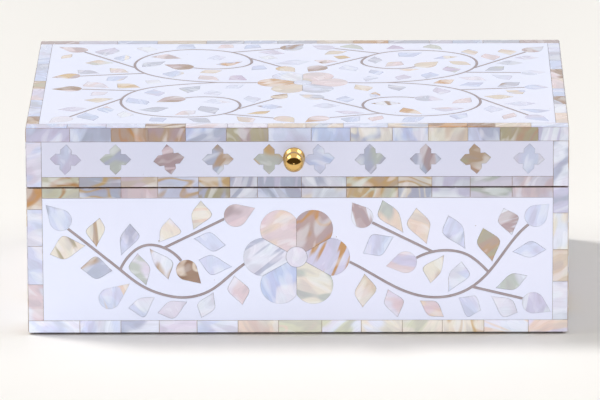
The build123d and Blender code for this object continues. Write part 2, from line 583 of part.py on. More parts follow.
def stroke(points, width, trim):
    """A line of even width along a smooth curve through the points, cut back by trim at both ends."""
    if len(points) == 2:
        path = Line(*points)
        count = 2
    else:
        path = Spline(*points)
        count = 3 * len(points)
    cut = trim / path.length
    sides = ([], [])
    for i in range(count):
        at = cut + (1 - 2 * cut) * i / (count - 1)
        spot, along = path @ at, path % at
        for side, way in zip(sides, (1, -1)):
            offset = way * width / 2
            side.append((spot.X - along.Y * offset, spot.Y + along.X * offset))
    left, right = sides
    curve = Line if count == 2 else Spline
    outline = [curve(*left), Line(left[-1], right[-1]), curve(*right[::-1]), Line(right[0], left[0])]
    return Face(Wire(outline))


def flower_pieces(centre, reach, eye):
    """Outlines of six petals round an eye. Each is a round end on two straight joints."""
    round_radius = petal_round * reach
    stand = reach - round_radius
    half = radians(30)
    flank = stand * cos(half) + sqrt(round_radius**2 - (stand * sin(half)) ** 2)
    outlines = []
    for i in range(6):
        turn = 2 * half * i

        def at(distance, angle, shift=0.0):
            u = distance * cos(angle) - shift * sin(angle)
            v = distance * sin(angle) + shift * cos(angle)
            return (centre[0] + u, centre[1] + v)

        start, end = turn - half, turn + half
        corners = [
            at(eye + glue_line, start, glue_line),
            at(flank - glue_line, start, glue_line),
            at(flank - glue_line, end, -glue_line),
            at(eye + glue_line, end, -glue_line),
        ]
        rim = ThreePointArc(corners[1], at(reach - glue_line, turn), corners[2])
        inner = ThreePointArc(corners[3], at(eye + glue_line, turn), corners[0])
        outlines.append(Wire([Line(corners[0], corners[1]), rim, Line(corners[2], corners[3]), inner]))
    disc = Wire.make_circle(eye - glue_line, Plane((centre[0], centre[1], 0)))
    return outlines + [disc]


def flower_hole(centre, reach):
    """The one opening in the resin that holds the whole flower."""
    round_radius = petal_round * reach
    stand = reach - round_radius
    half = radians(30)
    flank = stand * cos(half) + sqrt(round_radius**2 - (stand * sin(half)) ** 2)

    def at(distance, angle):
        return (centre[0] + distance * cos(angle), centre[1] + distance * sin(angle))

    arcs = []
    for i in range(6):
        turn = 2 * half * i
        arcs.append(ThreePointArc(at(flank, turn - half), at(reach, turn), at(flank, turn + half)))
    return Wire(arcs)


def quatrefoil_outline(centre, tilt, inset):
    """A cross of four gabled arms with square inner corners."""
    reach = quatrefoil_reach - inset * sqrt(2)
    arm = quatrefoil_arm - inset
    shoulder = reach - arm
    quarter = [(arm, shoulder), (arm, arm), (shoulder, arm), (reach, 0)]
    corners = []
    for i in range(4):
        turn = radians(tilt) - i * pi / 2
        for u, v in quarter:
            corners.append((u * cos(turn) - v * sin(turn), u * sin(turn) + v * cos(turn)))
    return Wire.make_polygon([Vector(centre[0] + u, centre[1] + v, 0) for u, v in corners], close=True)


def inlaid(outline):
    """A piece as thick as the inlay, flush with the face."""
    return Solid.extrude(Face(outline), Vector(0, 0, -inlay_thickness))


def resin_field(panel, holes):
    """The resin of one face, poured between its tiles and round each piece."""
    joint = tile_joint / 2
    u0, v0 = (c + joint for c in panel.field_low)
    u1, v1 = (c - joint for c in panel.field_high)
    rim = Wire.make_polygon([Vector(u0, v0), Vector(u1, v0), Vector(u1, v1), Vector(u0, v1)], close=True)
    return Solid.extrude(Face(rim, holes), Vector(0, 0, -inlay_thickness))


def patterned_face(panel, drawings):
    """Resin, leaves with buds, vines and flower of a face that one or two drawings cover."""
    holes, leaves, vines = [], [], []
    for drawing in drawings:
        holes += drawing.leaves(0) + drawing.buds(0)
        leaves += [inlaid(w) for w in drawing.leaves(glue_line) + drawing.buds(glue_line)]
        holes += [f.outer_wire() for f in drawing.vine_faces(vine_width, 0)]
        fills = drawing.vine_faces(vine_width - 2 * glue_line, glue_line)
        vines += [inlaid(f.outer_wire()) for f in fills]
    first = drawings[0]
    holes.append(flower_hole(first.centre, first.reach))
    eye = flower_eye * first.reach / front_drawing["reach"]
    petals = [inlaid(w) for w in flower_pieces(first.centre, first.reach, eye)]
    return resin_field(panel, holes), leaves, vines, petals


def quatrefoil_face(panel, places, extra_holes=()):
    """Resin and quatrefoils of a lid wall."""
    middle = (panel.field_low[1] + panel.field_high[1]) / 2
    holes = [quatrefoil_outline((u, middle), tilt, 0) for u, tilt in places]
    pieces = [inlaid(quatrefoil_outline((u, middle), tilt, glue_line)) for u, tilt in places]
    return resin_field(panel, holes + list(extra_holes)), pieces


def even_quatrefoils(panel):
    """Quatrefoils at an even pitch, a little tilted each."""
    width = panel.field_high[0] - panel.field_low[0]
    pitch_wanted = 2 * front_quatrefoil_row / len(front_quatrefoils)
    count = max(1, round(width / pitch_wanted))
    pitch = width / count
    tilts = [quatrefoil_tilt * sin(unevenness_step * i) for i in range(count)]
    return [((i - (count - 1) / 2) * pitch, tilt) for i, tilt in enumerate(tilts)]


def knob_solid():
    """The knob, turned about its own axis: a domed foot, a neck and a ball, with a blind bore."""
    dome_top = knob_foot_edge + knob_dome_height
    neck_meets = dome_top + knob_neck_length
    ball = neck_meets + sqrt(knob_ball_radius**2 - knob_neck_radius**2)
    reach = ball + knob_ball_radius
    bore = knob_screw_radius + screw_clearance
    depth = knob_screw_grip + knob_screw_end_gap
    dome_width = knob_foot_radius - knob_neck_radius
    shoulder = (knob_neck_radius + dome_width * sqrt(0.5), knob_foot_edge + knob_dome_height * sqrt(0.5))
    profile = [
        Line((bore, 0), (knob_foot_radius, 0)),
        Line((knob_foot_radius, 0), (knob_foot_radius, knob_foot_edge)),
        Spline((knob_foot_radius, knob_foot_edge), shoulder, (knob_neck_radius, dome_top)),
        Line((knob_neck_radius, dome_top), (knob_neck_radius, neck_meets)),
        ThreePointArc((knob_neck_radius, neck_meets), (knob_ball_radius, ball), (0, reach)),
        Line((0, reach), (0, depth)),
        Line((0, depth), (bore, depth)),
        Line((bore, depth), (bore, 0)),
    ]
    upright = revolve(make_face(Plane.XZ * Curve(profile)), Axis.Z)
    return Pos(knob_shift, -half_depth, knob_z) * Rot(90, 0, 0) * upright


def knob_screw_solid():
    """The knob's screw, with its slotted head sunk in the inside of the lid's front board."""
    upward = (Align.CENTER, Align.CENTER, Align.MIN)
    length = knob_screw_seat + knob_screw_grip
    shank = Pos(0, 0, -knob_screw_seat) * Cylinder(knob_screw_radius, length, align=upward)
    head_end = -knob_screw_seat - knob_screw_head_height
    head = Pos(0, 0, head_end) * Cylinder(knob_screw_head_radius, knob_screw_head_height, align=upward)
    width = 0.25 * knob_screw_head_radius
    slot = Pos(0, 0, head_end) * Box(3 * knob_screw_head_radius, width, knob_screw_head_height)
    return Pos(knob_shift, -half_depth, knob_z) * Rot(90, 0, 0) * (shank + head - slot)


def knob_bore():
    """What the knob's screw takes out of the lid's front board."""
    hole = Cylinder(knob_screw_radius + screw_clearance, 4 * wall_board)
    inward = (Align.CENTER, Align.CENTER, Align.MAX)
    sink = Cylinder(knob_screw_head_radius + screw_clearance, 2 * wall_board, align=inward)
    return Pos(knob_shift, -half_depth, knob_z) * Rot(90, 0, 0) * (hole + Pos(0, 0, -knob_screw_seat) * sink)


def hinge_leaf(knuckles, gaps, tabs):
    """A leaf below its pin: plate, knuckles and stop tab. Over a gap the tab clears the other knuckle."""
    plate_end = -(pin_y - half_depth + hinge_leaf_depth)
    half = hinge_length / 2
    leaf = block((-half, plate_end, -leaf_high), (half, 0, -leaf_low))
    for start, end in gaps:
        reach = hinge_barrel_radius + stop_tab_clearance
        leaf -= block((start, -reach, -2 * leaf_high), (end, 1, 2 * leaf_high))
    for start, end in knuckles:
        barrel = Rot(0, 90, 0) * Cylinder(hinge_barrel_radius, end - start)
        leaf += Pos((start + end) / 2, 0, 0) * barrel
    outer = hinge_barrel_radius + stop_tab_reach
    clear = hinge_barrel_radius + stop_tab_clearance
    tilt = -(hinge_opening + stop_slack) / 2
    for start, end in tabs:
        inner = clear if (start, end) in gaps else hinge_pin_radius + hinge_pin_clearance
        tab = block((start, inner, -stop_tab_thickness), (end, outer, 0))
        leaf += Rot(tilt, 0, 0) * tab
    leaf -= Rot(0, 90, 0) * Cylinder(hinge_pin_radius + hinge_pin_clearance, 2 * hinge_length)
    for x in (-hinge_screw_spacing / 2, hinge_screw_spacing / 2):
        leaf -= Pos(x, screw_y() - pin_y, -leaf_low) * screw_blank(screw_clearance)
    return leaf


def screw_y():
    """The hinge screws stand in the middle of the back boards."""
    return half_depth - inlay_thickness - wall_board / 2


def screw_blank(clearance):
    """A countersunk screw below its place, or with clearance what it takes out of the wood."""
    top = hinge_screw_head_radius + clearance
    shank = hinge_screw_radius + clearance
    end = hinge_screw_length + clearance
    neck = hinge_screw_head_height
    profile = Polyline((0, 0), (top, 0), (shank, -neck), (shank, 1 - end), (0, -end), (0, 0))
    return revolve(make_face(Plane.XZ * profile), Axis.Z)


def hinge_screw():
    """One countersunk hinge screw with a cross slot."""
    slot = 0.3 * hinge_screw_head_radius
    cut = Box(2.2 * slot * 2, slot, 2 * slot) + Box(slot, 2.2 * slot * 2, 2 * slot)
    return Pos(0, 0, -screw_clearance) * (screw_blank(0) - cut)


def turned_over(shape):
    """The same piece on the other side of the seam."""
    return mirror(shape, Plane.XY)


def hinge_pieces():
    """Base leaf, lid leaf and pin of one hinge, in the pin's frame."""
    half = hinge_length / 2
    third = hinge_length / 6
    gap = hinge_knuckle_gap / 2
    outer_spans = [(-half, -third - gap), (third + gap, half)]
    middle_span = (-third + gap, third - gap)
    middle_gap = (-third - gap, third + gap)
    outer_gaps = [(-half - 1, -third + gap), (third - gap, half + 1)]
    base = hinge_leaf(outer_spans, [middle_gap], outer_spans + [middle_gap])
    lid = turned_over(hinge_leaf([middle_span], outer_gaps, [middle_span]))
    pin = Rot(0, 90, 0) * Cylinder(hinge_pin_radius, hinge_length + 2 * hinge_pin_clearance)
    for way in (-1, 1):
        head = Rot(0, 90, 0) * Cylinder(1.5 * hinge_pin_radius, hinge_pin_head)
        pin += Pos(way * (half + hinge_pin_clearance + hinge_pin_head / 2), 0, 0) * head
    return base, lid, pin


def hinge_recesses(above):
    """What the hinges and their screws take out of the rim on one side of the seam."""
    rim = seam_high if above else seam_low
    deep = leaf_high - saw_cut / 2 + hinge_recess_clearance / 2
    half = hinge_length / 2 + hinge_recess_clearance
    front = half_depth - hinge_leaf_depth - hinge_recess_clearance
    cuts = []
    for x in hinge_places.values():
        low_z, high_z = (seam_height, rim + deep) if above else (rim - deep, seam_height)
        cuts.append(block((x - half, front, low_z), (x + half, half_depth + 1, high_z)))
        for step in (-hinge_screw_spacing / 2, hinge_screw_spacing / 2):
            blank = screw_blank(screw_clearance)
            blank = turned_over(blank) if above else blank
            offset = leaf_low if above else -leaf_low
            cuts.append(Pos(x + step, screw_y(), seam_height + offset) * blank)
    return cuts


def carcass():
    """The wooden boards of the base and the lid."""
    x, y = carcass_half_width, carcass_half_depth
    in_x, in_y = inner_half_width, inner_half_depth
    boards = {
        "base_front_board": block((-x, -y, felt_thickness), (x, -in_y, seam_low)),
        "base_back_board": block((-x, in_y, felt_thickness), (x, y, seam_low)),
        "base_left_board": block((-x, -in_y, felt_thickness), (-in_x, in_y, seam_low)),
        "base_right_board": block((in_x, -in_y, felt_thickness), (x, in_y, seam_low)),
        "base_floor_board": block((-in_x, -in_y, felt_thickness), (in_x, in_y, floor_top)),
        "lid_top_board": block((-x, -y, lid_wall_top), (x, y, carcass_top)),
        "lid_front_board": block((-x, -y, seam_high), (x, -in_y, lid_wall_top)),
        "lid_back_board": block((-x, in_y, seam_high), (x, y, lid_wall_top)),
        "lid_left_board": block((-x, -in_y, seam_high), (-in_x, in_y, lid_wall_top)),
        "lid_right_board": block((in_x, -in_y, seam_high), (x, in_y, lid_wall_top)),
    }
    for cut in hinge_recesses(False):
        boards["base_back_board"] -= cut
    for cut in hinge_recesses(True):
        boards["lid_back_board"] -= cut
    boards["lid_front_board"] -= knob_bore()
    return boards


def lining_panels(low_z, high_z):
    """Four lining panels that stand round the inside between two heights."""
    thick = lining_thickness
    x, y = inner_half_width, inner_half_depth
    return [
        block((-x, -y, low_z), (x, thick - y, high_z)),
        block((-x, y - thick, low_z), (x, y, high_z)),
        block((-x, thick - y, low_z), (thick - x, y - thick, high_z)),
        block((x - thick, thick - y, low_z), (x, y - thick, high_z)),
    ]


def linings():
    """Lining of the base's floor and walls and of the lid, and the felt that the box stands on."""
    x, y = inner_half_width, inner_half_depth
    thick = lining_thickness
    ceiling = block((-x, -y, lid_wall_top - thick), (x, y, lid_wall_top))
    lid_walls = lining_panels(seam_height + lining_gap / 2, lid_wall_top - thick)
    felt_x, felt_y = half_width - felt_inset, half_depth - felt_inset
    return {
        "base_floor_lining": [block((-x, -y, floor_top), (x, y, floor_top + thick))],
        "base_wall_lining": lining_panels(floor_top + thick, seam_height - lining_gap / 2),
        "lid_lining": [ceiling] + lid_walls,
        "base_felt": [block((-felt_x, -felt_y, 0), (felt_x, felt_y, felt_thickness))],
    }


def wall_panels():
    """The eight wall faces and the top, each with the strips that frame its field."""
    w, d = half_width, half_depth
    planes = {
        "front": (Plane((0, -d, 0), x_dir=(1, 0, 0), z_dir=(0, -1, 0)), w),
        "back": (Plane((0, d, 0), x_dir=(-1, 0, 0), z_dir=(0, 1, 0)), w),
        "left": (Plane((-w, 0, 0), x_dir=(0, -1, 0), z_dir=(-1, 0, 0)), d),
        "right": (Plane((w, 0, 0), x_dir=(0, 1, 0), z_dir=(1, 0, 0)), d),
    }
    base_strips = (side_strip, base_lower_strip, side_strip, seam_strip)
    lid_strips = (side_strip, seam_strip, side_strip, lid_upper_strip)
    found = {}
    for side, (plane, half) in planes.items():
        base_low, base_high = (-half, felt_thickness), (half, seam_low)
        found["base_" + side] = Panel(plane, base_low, base_high, base_strips, (1, 0, 1, 0))
        lid_low, lid_high = (-half, seam_high), (half, box_height)
        found["lid_" + side] = Panel(plane, lid_low, lid_high, lid_strips, (1, 0, 1, 1))
    top_strips = (top_side_strip, top_cross_strip, top_side_strip, top_cross_strip)
    top = Plane((0, 0, box_height))
    found["lid_top"] = Panel(top, (-w, -d), (w, d), top_strips, (1, 1, 1, 1))
    return found


def seen_cuts(side, panel, columns):
    """Cuts of a wall's full row, seam row and columns, the same on both sides of the seam."""
    width = panel.high[0] - panel.low[0]
    height = panel.high[1] - panel.low[1]
    turn = {"front": 0.0, "back": 1.3, "left": 2.6, "right": 3.9}[side]
    seam_row = uneven_cuts(panel.field_high[0] - panel.field_low[0], turn)
    full_row = uneven_cuts(width, turn + 0.7)
    left, right = uneven_cuts(height, turn + 1.1), uneven_cuts(height, turn + 1.9)
    if side == "front":
        seam_row = seam_cuts
        full_row = front_lower_cuts if columns else front_upper_cuts
        left, right = front_left_cuts, front_right_cuts
    return full_row, seam_row, left if columns else [], right if columns else []


def faces():
    """Every inlaid face as named groups of pieces."""
    found = {}
    panels = wall_panels()
    for side in ("front", "back", "left", "right"):
        base, lid = panels["base_" + side], panels["lid_" + side]
        if side in ("front", "back"):
            drawings = [Drawing(front_drawing, base)]
        else:
            drawings = [Drawing(side_half_drawing, base), Drawing(side_half_drawing, base, True)]
        resin, leaves, vines, petals = patterned_face(base, drawings)
        found[f"base_{side}_resin"] = base.place([resin])
        found[f"base_{side}_leaves"] = base.place(leaves)
        found[f"base_{side}_vines"] = base.place(vines)
        found[f"base_{side}_flower"] = base.place(petals)
        tiles = wall_tiles(base, "lower", *seen_cuts(side, base, True))
        found[f"base_{side}_tiles"] = base.place(tiles)
        places, extra = even_quatrefoils(lid), []
        if side == "front":
            stretch = lid.field_high[0] / front_quatrefoil_row
            places = [(u * stretch, tilt) for u, tilt in front_quatrefoils]
            hole = Plane((knob_shift, knob_z, 0))
            extra = [Wire.make_circle(knob_screw_radius + screw_clearance, hole)]
        resin, pieces = quatrefoil_face(lid, places, extra)
        found[f"lid_{side}_resin"] = lid.place([resin])
        found[f"lid_{side}_quatrefoils"] = lid.place(pieces)
        tiles = wall_tiles(lid, "upper", *seen_cuts(side, lid, False))
        found[f"lid_{side}_tiles"] = lid.place(tiles)
    for node, above in (("base_back_tiles", False), ("lid_back_tiles", True)):
        notches = hinge_recesses(above)
        cut = [tile.cut(*notches) for tile in found[node].solids()]
        found[node] = Compound(children=[s for c in cut for s in c.solids()])
    top = panels["lid_top"]
    resin, leaves, vines, petals = patterned_face(top, [Drawing(top_drawing, top)])
    found["lid_top_resin"] = top.place([resin])
    found["lid_top_leaves"] = top.place(leaves)
    found["lid_top_vines"] = top.place(vines)
    found["lid_top_flower"] = top.place(petals)
    found["lid_top_tiles"] = top.place(top_tiles(top))
    return found


def hardware():
    """Knob, hinges and all screws."""
    found = {"knob": knob_solid(), "knob_screw": knob_screw_solid()}
    base_leaf, lid_leaf, pin = hinge_pieces()
    pins, base_screws, lid_screws = [], [], []
    for side, x in hinge_places.items():
        spot = Pos(x, pin_y, seam_height)
        found[f"hinge_{side}_base_leaf"] = spot * base_leaf
        found[f"hinge_{side}_lid_leaf"] = spot * lid_leaf
        pins.append(spot * pin)
        for step in (-hinge_screw_spacing / 2, hinge_screw_spacing / 2):
            low = Pos(x + step, screw_y(), seam_height - leaf_low) * hinge_screw()
            high = Pos(x + step, screw_y(), seam_height + leaf_low) * turned_over(hinge_screw())
            base_screws.append(low)
            lid_screws.append(high)
    found["hinge_pins"] = Compound(children=pins)
    found["hinge_base_screws"] = Compound(children=base_screws)
    found["hinge_lid_screws"] = Compound(children=lid_screws)
    return found


def main():
    os.makedirs("parts", exist_ok=True)
    nodes = carcass()
    nodes.update({name: Compound(children=group) for name, group in linings().items()})
    nodes.update(faces())
    nodes.update(hardware())
    for name, shape in nodes.items():
        export_step(shape, f"parts/{name}.step")
        print(name, len(shape.solids()))
    print(len(nodes), "nodes")


if __name__ == "__main__":
    main()
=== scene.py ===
from math import cos, pi, radians, sin
from random import Random

import bmesh
import bpy
from mathutils import Euler, Matrix, Vector


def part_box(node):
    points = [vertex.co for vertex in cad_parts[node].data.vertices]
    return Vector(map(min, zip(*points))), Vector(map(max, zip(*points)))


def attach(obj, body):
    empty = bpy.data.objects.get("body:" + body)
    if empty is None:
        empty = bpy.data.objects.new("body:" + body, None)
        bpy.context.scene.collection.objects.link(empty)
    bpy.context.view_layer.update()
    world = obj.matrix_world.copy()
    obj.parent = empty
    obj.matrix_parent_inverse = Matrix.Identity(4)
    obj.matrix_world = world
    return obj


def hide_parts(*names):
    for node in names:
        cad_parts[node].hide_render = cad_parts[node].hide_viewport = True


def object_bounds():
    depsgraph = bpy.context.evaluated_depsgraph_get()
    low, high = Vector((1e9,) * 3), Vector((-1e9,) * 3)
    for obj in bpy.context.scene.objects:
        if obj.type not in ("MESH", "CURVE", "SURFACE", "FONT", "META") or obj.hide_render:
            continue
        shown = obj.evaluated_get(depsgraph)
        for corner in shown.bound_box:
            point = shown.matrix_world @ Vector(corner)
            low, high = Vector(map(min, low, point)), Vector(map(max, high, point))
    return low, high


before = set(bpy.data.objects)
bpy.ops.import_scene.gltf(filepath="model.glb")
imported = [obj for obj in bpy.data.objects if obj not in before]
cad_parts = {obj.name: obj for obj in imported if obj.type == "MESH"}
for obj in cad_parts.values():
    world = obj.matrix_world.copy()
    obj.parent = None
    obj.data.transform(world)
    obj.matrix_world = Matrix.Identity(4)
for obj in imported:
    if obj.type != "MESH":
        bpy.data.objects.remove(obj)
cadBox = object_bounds()
print("frame loaded:", len(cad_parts), "nodes")

mm = 0.001
floorHeight = cadBox[0].z
noiseRange = (0.3, 0.7)  # between which a noise mostly keeps


def tint(red, green, blue):
    # a colour as a paint chart gives it, turned into the linear one that shaders take
    linear = []
    for part in (red, green, blue):
        share = part / 255
        linear.append(share / 12.92 if share <= 0.04045 else ((share + 0.055) / 1.055) ** 2.4)
    return (*linear, 1.0)


# Shader maths


class Signal:
    # one output of a node, so that sums of outputs read as plain sums

    def __init__(self, recipe, socket):
        self.recipe = recipe
        self.socket = socket

    def maths(self, operation, first, second):
        return self.recipe.node("ShaderNodeMath", {"operation": operation}, {0: first, 1: second})

    def __add__(self, other):
        return self.maths("ADD", self, other)

    def __radd__(self, other):
        return self.maths("ADD", other, self)

    def __sub__(self, other):
        return self.maths("SUBTRACT", self, other)

    def __rsub__(self, other):
        return self.maths("SUBTRACT", other, self)

    def __mul__(self, other):
        return self.maths("MULTIPLY", self, other)

    def __rmul__(self, other):
        return self.maths("MULTIPLY", other, self)

    def __truediv__(self, other):
        return self.maths("DIVIDE", self, other)

    def __rtruediv__(self, other):
        return self.maths("DIVIDE", other, self)

    def larger(self, other):
        return self.maths("MAXIMUM", self, other)

    def folded(self, height):
        # up to the height and back down again, over and over
        return self.maths("PINGPONG", self, height)


class Recipe:
    # a node tree, and the means to add nodes to it

    def __init__(self, tree):
        self.tree = tree

    def node(self, kind, settings=None, values=None, output=0):
        made = self.tree.nodes.new(kind)
        for name, value in (settings or {}).items():
            if name == "stops":
                self.setStops(made.color_ramp, value)
            else:
                setattr(made, name, value)
        for name, value in (values or {}).items():
            if isinstance(value, Signal):
                self.tree.links.new(value.socket, made.inputs[name])
            else:
                made.inputs[name].default_value = value
        return None if output is None else Signal(self, made.outputs[output])

    def setStops(self, ramp, stops):
        while len(ramp.elements) < len(stops):
            ramp.elements.new(0.5)
        for element, (place, colour) in zip(ramp.elements, stops):
            element.position = place
            element.color = colour

    def place(self, kind="Object"):
        return self.node("ShaderNodeTexCoord", output=kind)

    def split(self, vector):
        parts = self.node("ShaderNodeSeparateXYZ", values={0: vector}).socket.node.outputs
        return [Signal(self, parts[axis]) for axis in "XYZ"]

    def scaled(self, place, scale, turn=(0, 0, 0)):
        return self.node("ShaderNodeMapping", values={"Vector": place, "Rotation": turn, "Scale": scale})

    def noise(self, place, scale, detail, roughness=0.55, distortion=0.0):
        values = {"Vector": place, "Scale": scale, "Detail": detail, "Roughness": roughness}
        values["Distortion"] = distortion
        return self.node("ShaderNodeTexNoise", values=values)

    def between(self, signal, low, high, start=0.0, end=1.0):
        # a smooth step of the signal from low to high
        settings = {"interpolation_type": "SMOOTHSTEP", "clamp": True}
        values = {"Value": signal, "From Min": low, "From Max": high, "To Min": start, "To Max": end}
        return self.node("ShaderNodeMapRange", settings, values)

    def pattern(self, place, noise, span):
        # a noise by its scale, detail, roughness and distortion, stepped over a span of its values
        return self.between(self.noise(place, *noise), *span)

    def swing(self, noise, start, end):
        # a noise over its usual range, spread from start to end
        return self.between(noise, *noiseRange, start, end)

    def blend(self, share, first, second, mode="MIX"):
        settings = {"data_type": "RGBA", "blend_type": mode}
        return self.node("ShaderNodeMix", settings, {0: share, 6: first, 7: second}, 2)

    def attribute(self, name, output="Vector"):
        return self.node("ShaderNodeAttribute", {"attribute_name": name}, output=output)

    def bump(self, height, distance, strength):
        values = {"Height": height, "Distance": distance, "Strength": strength}
        return self.node("ShaderNodeBump", values=values, output="Normal")


class Paint(Recipe):
    # one material with its main shader

    def __init__(self, name, **constants):
        self.material = bpy.data.materials.new(name)
        self.material.use_nodes = True
        super().__init__(self.material.node_tree)
        self.shader = self.tree.nodes["Principled BSDF"]
        for label, value in constants.items():
            self.shader.inputs[label.replace("_", " ")].default_value = value

    def feed(self, label, signal):
        self.tree.links.new(signal.socket, self.shader.inputs[label])


# Finishes


resinLook = {
    "base": {"milk": tint(229, 234, 255), "cloud": tint(223, 228, 251), "warmth": tint(232, 230, 248)},
    # the same resin, darker, for the lid's walls: painted shade
    "lid": {"milk": tint(215, 218, 239), "cloud": tint(208, 211, 233), "warmth": tint(220, 215, 230)},
    "speck": tint(150, 130, 120),
    "clouds": {"noise": (18.0, 2.0, 0.45), "span": (0.3, 0.75)},
    "cloudShare": 0.5,
    "warmth": {"noise": (7.0, 1.0), "span": (0.4, 0.75)},
    "warmthShare": 0.4,
    "specks": {"noise": (480.0, 0.0), "span": (0.885, 0.905)},
    "speckShare": 0.7,
    "polish": (70.0, 3.0),
    "roughness": (0.28, 0.36),
    "coat": (0.2, 0.1),
    "waves": (35.0, 1.0),
    "relief": (0.2 * mm, 0.25),
}


def whiteResin(name, look):
    # poured polyester, sanded flush and buffed: milky, with faint clouds and a few specks
    paint = Paint(name, IOR=1.5, Coat_Roughness=0.1)
    place = paint.place()
    clouds = paint.pattern(place, **resinLook["clouds"])
    warmth = paint.pattern(place, **resinLook["warmth"])
    specks = paint.pattern(place, **resinLook["specks"])
    polish = paint.noise(place, *resinLook["polish"])
    waves = paint.noise(place, *resinLook["waves"])
    colour = paint.blend(clouds * resinLook["cloudShare"], look["milk"], look["cloud"])
    colour = paint.blend(warmth * resinLook["warmthShare"], colour, look["warmth"])
    colour = paint.blend(specks * resinLook["speckShare"], colour, resinLook["speck"])
    paint.feed("Base Color", colour)
    paint.feed("Roughness", paint.swing(polish, *resinLook["roughness"]))
    paint.feed("Coat Weight", paint.between(clouds, 0.0, 1.0, *resinLook["coat"]))
    paint.feed("Normal", paint.bump(waves, *resinLook["relief"]))
    return paint.material


tints = {
    "frost": tint(226, 230, 246),
    "ice": tint(211, 218, 245),
    "sky": tint(194, 206, 241),
    "slate": tint(183, 189, 213),
    "sage": tint(190, 197, 194),
    "olive": tint(178, 171, 146),
    "opal": tint(213, 214, 196),
    "lilac": tint(206, 204, 231),
    "mist": tint(224, 221, 239),
    "rose": tint(222, 205, 214),
    "peach": tint(228, 210, 199),
    "cream": tint(231, 225, 216),
    "sand": tint(216, 201, 187),
    "ochre": tint(204, 172, 124),
    "amber": tint(194, 146, 96),
    "umber": tint(142, 106, 82),
    "tan": tint(186, 160, 138),
    "mauve": tint(180, 160, 166),
    "violet": tint(190, 176, 210),
}
# how two tints share a shell piece: in clouds, in bands or in veins
figures = {"+": (1.0, 0.0, 0.0), "/": (0.0, 1.0, 0.0), "~": (0.0, 0.0, 1.0)}
pearlLook = {
    "noises": {  # stretch along and across the grain, then detail, roughness and distortion
        "clouds": ((0.05, 0.1, 1.0), 1.0, 0.35, 0.25),
        "bands": ((0.025, 0.2, 1.0), 1.0, 0.4, 0.15),
        "veins": ((0.045, 0.085, 1.0), 0.6, 0.4, 0.5),
        "sheen": ((0.06, 0.14, 1.0), 1.0, 0.4, 0.6),
        "growth": ((0.08, 1.3, 1.0), 2.0, 0.55, 0.15),
        "play": ((0.07, 0.11, 1.0), 0.5, 0.4, 0.8),
    },
    "cloudSpan": (0.43, 0.6),
    "bandSpan": (0.5, 0.6),
    "veinCount": 7.0,
    "veinSpan": (0.5, 1.0),
    "veinShare": 0.75,
    "washes": [  # laid over the two tints in this order: noise, span, share, tint and mode
        # the first two rows are painted shade and a painted highlight gleam, both by the sheen noise
        ("sheen", (0.49, 0.34), 0.24, tint(158, 155, 174), "MIX"),
        ("sheen", (0.52, 0.7), 0.4, tint(240, 243, 252), "MIX"),
        ("growth", (0.45, 0.7), 0.08, tint(158, 155, 174), "MIX"),
        ("play", (0.5, 0.68), 0.2, tint(248, 222, 232), "MULTIPLY"),
        ("play", (0.48, 0.32), 0.13, tint(218, 240, 228), "MULTIPLY"),
    ],
    "glue": tint(190, 164, 148),
    "gluePatches": (60.0, 2.0),
    "glueSwing": (0.25, 0.95),
    "glueDepth": 0.3,
    "growthHeight": 0.05,
    "roughness": (0.2, 0.3),
    "coat": (0.3, 0.1),
    "relief": (0.06 * mm, 0.4),
}


def motherOfPearl():
    # nacre: two tints in clouds, bands or veins, washes of painted shade and a painted highlight gleam,
    # growth lines, pink and green over them, and patchy glue along the rim
    look = pearlLook
    shell = Paint("motherOfPearl", IOR=1.55, Coat_Roughness=0.06)
    grain = shell.node("ShaderNodeUVMap", {"uv_map": "pearl"})
    noises = {}
    for name, (stretch, *character) in look["noises"].items():
        noises[name] = shell.noise(shell.scaled(grain, stretch), 1.0, *character)
    clouds = shell.between(noises["clouds"], *look["cloudSpan"])
    bands = shell.between(noises["bands"], *look["bandSpan"])
    rings = (noises["veins"] * look["veinCount"]).folded(1.0)
    veins = shell.between(rings, *look["veinSpan"]) * look["veinShare"] + clouds * (1 - look["veinShare"])
    figure = shell.split(shell.attribute("figure"))
    mask = clouds * figure[0] + bands * figure[1] + veins * figure[2]
    first, second = shell.attribute("tintA", "Color"), shell.attribute("tintB", "Color")
    colour = shell.blend(shell.between(mask, 0.0, 1.0), first, second)
    for noise, span, share, wash, mode in look["washes"]:
        colour = shell.blend(shell.between(noises[noise], *span) * share, colour, wash, mode)
    patches = shell.noise(shell.place(), *look["gluePatches"])
    edge = shell.attribute("rim", "Fac") * shell.swing(patches, *look["glueSwing"])
    height = noises["growth"] * look["growthHeight"] + noises["clouds"] - edge * look["glueDepth"]
    shell.feed("Base Color", shell.blend(edge, colour, look["glue"]))
    shell.feed("Roughness", shell.swing(noises["sheen"], *look["roughness"]))
    shell.feed("Coat Weight", shell.between(edge, 0.0, 1.0, *look["coat"]))
    shell.feed("Normal", shell.bump(height, *look["relief"]))
    return shell.material


vineLook = {
    "line": tint(162, 149, 153),
    "edge": tint(128, 115, 118),
    "pale": tint(173, 161, 165),
    "mottle": (140.0, 3.0),
    "paleSpan": (0.35, 0.7),
    "edgeSpan": (0.1, 0.9),
    "edgeShare": 0.8,
    "roughness": (0.45, 0.6),
    "relief": (0.05 * mm, 0.3),
}


def vineResin():
    # taupe resin poured into a routed groove, a little darker along its sides
    paint = Paint("taupeVineResin", IOR=1.45, Specular_IOR_Level=0.3)
    mottle = paint.noise(paint.place(), *vineLook["mottle"])
    edge = paint.between(paint.attribute("rim", "Fac"), *vineLook["edgeSpan"])
    colour = paint.blend(paint.between(mottle, *vineLook["paleSpan"]), vineLook["line"], vineLook["pale"])
    paint.feed("Base Color", paint.blend(edge * vineLook["edgeShare"], colour, vineLook["edge"]))
    paint.feed("Roughness", paint.swing(mottle, *vineLook["roughness"]))
    paint.feed("Normal", paint.bump(mottle - edge, *vineLook["relief"]))
    return paint.material


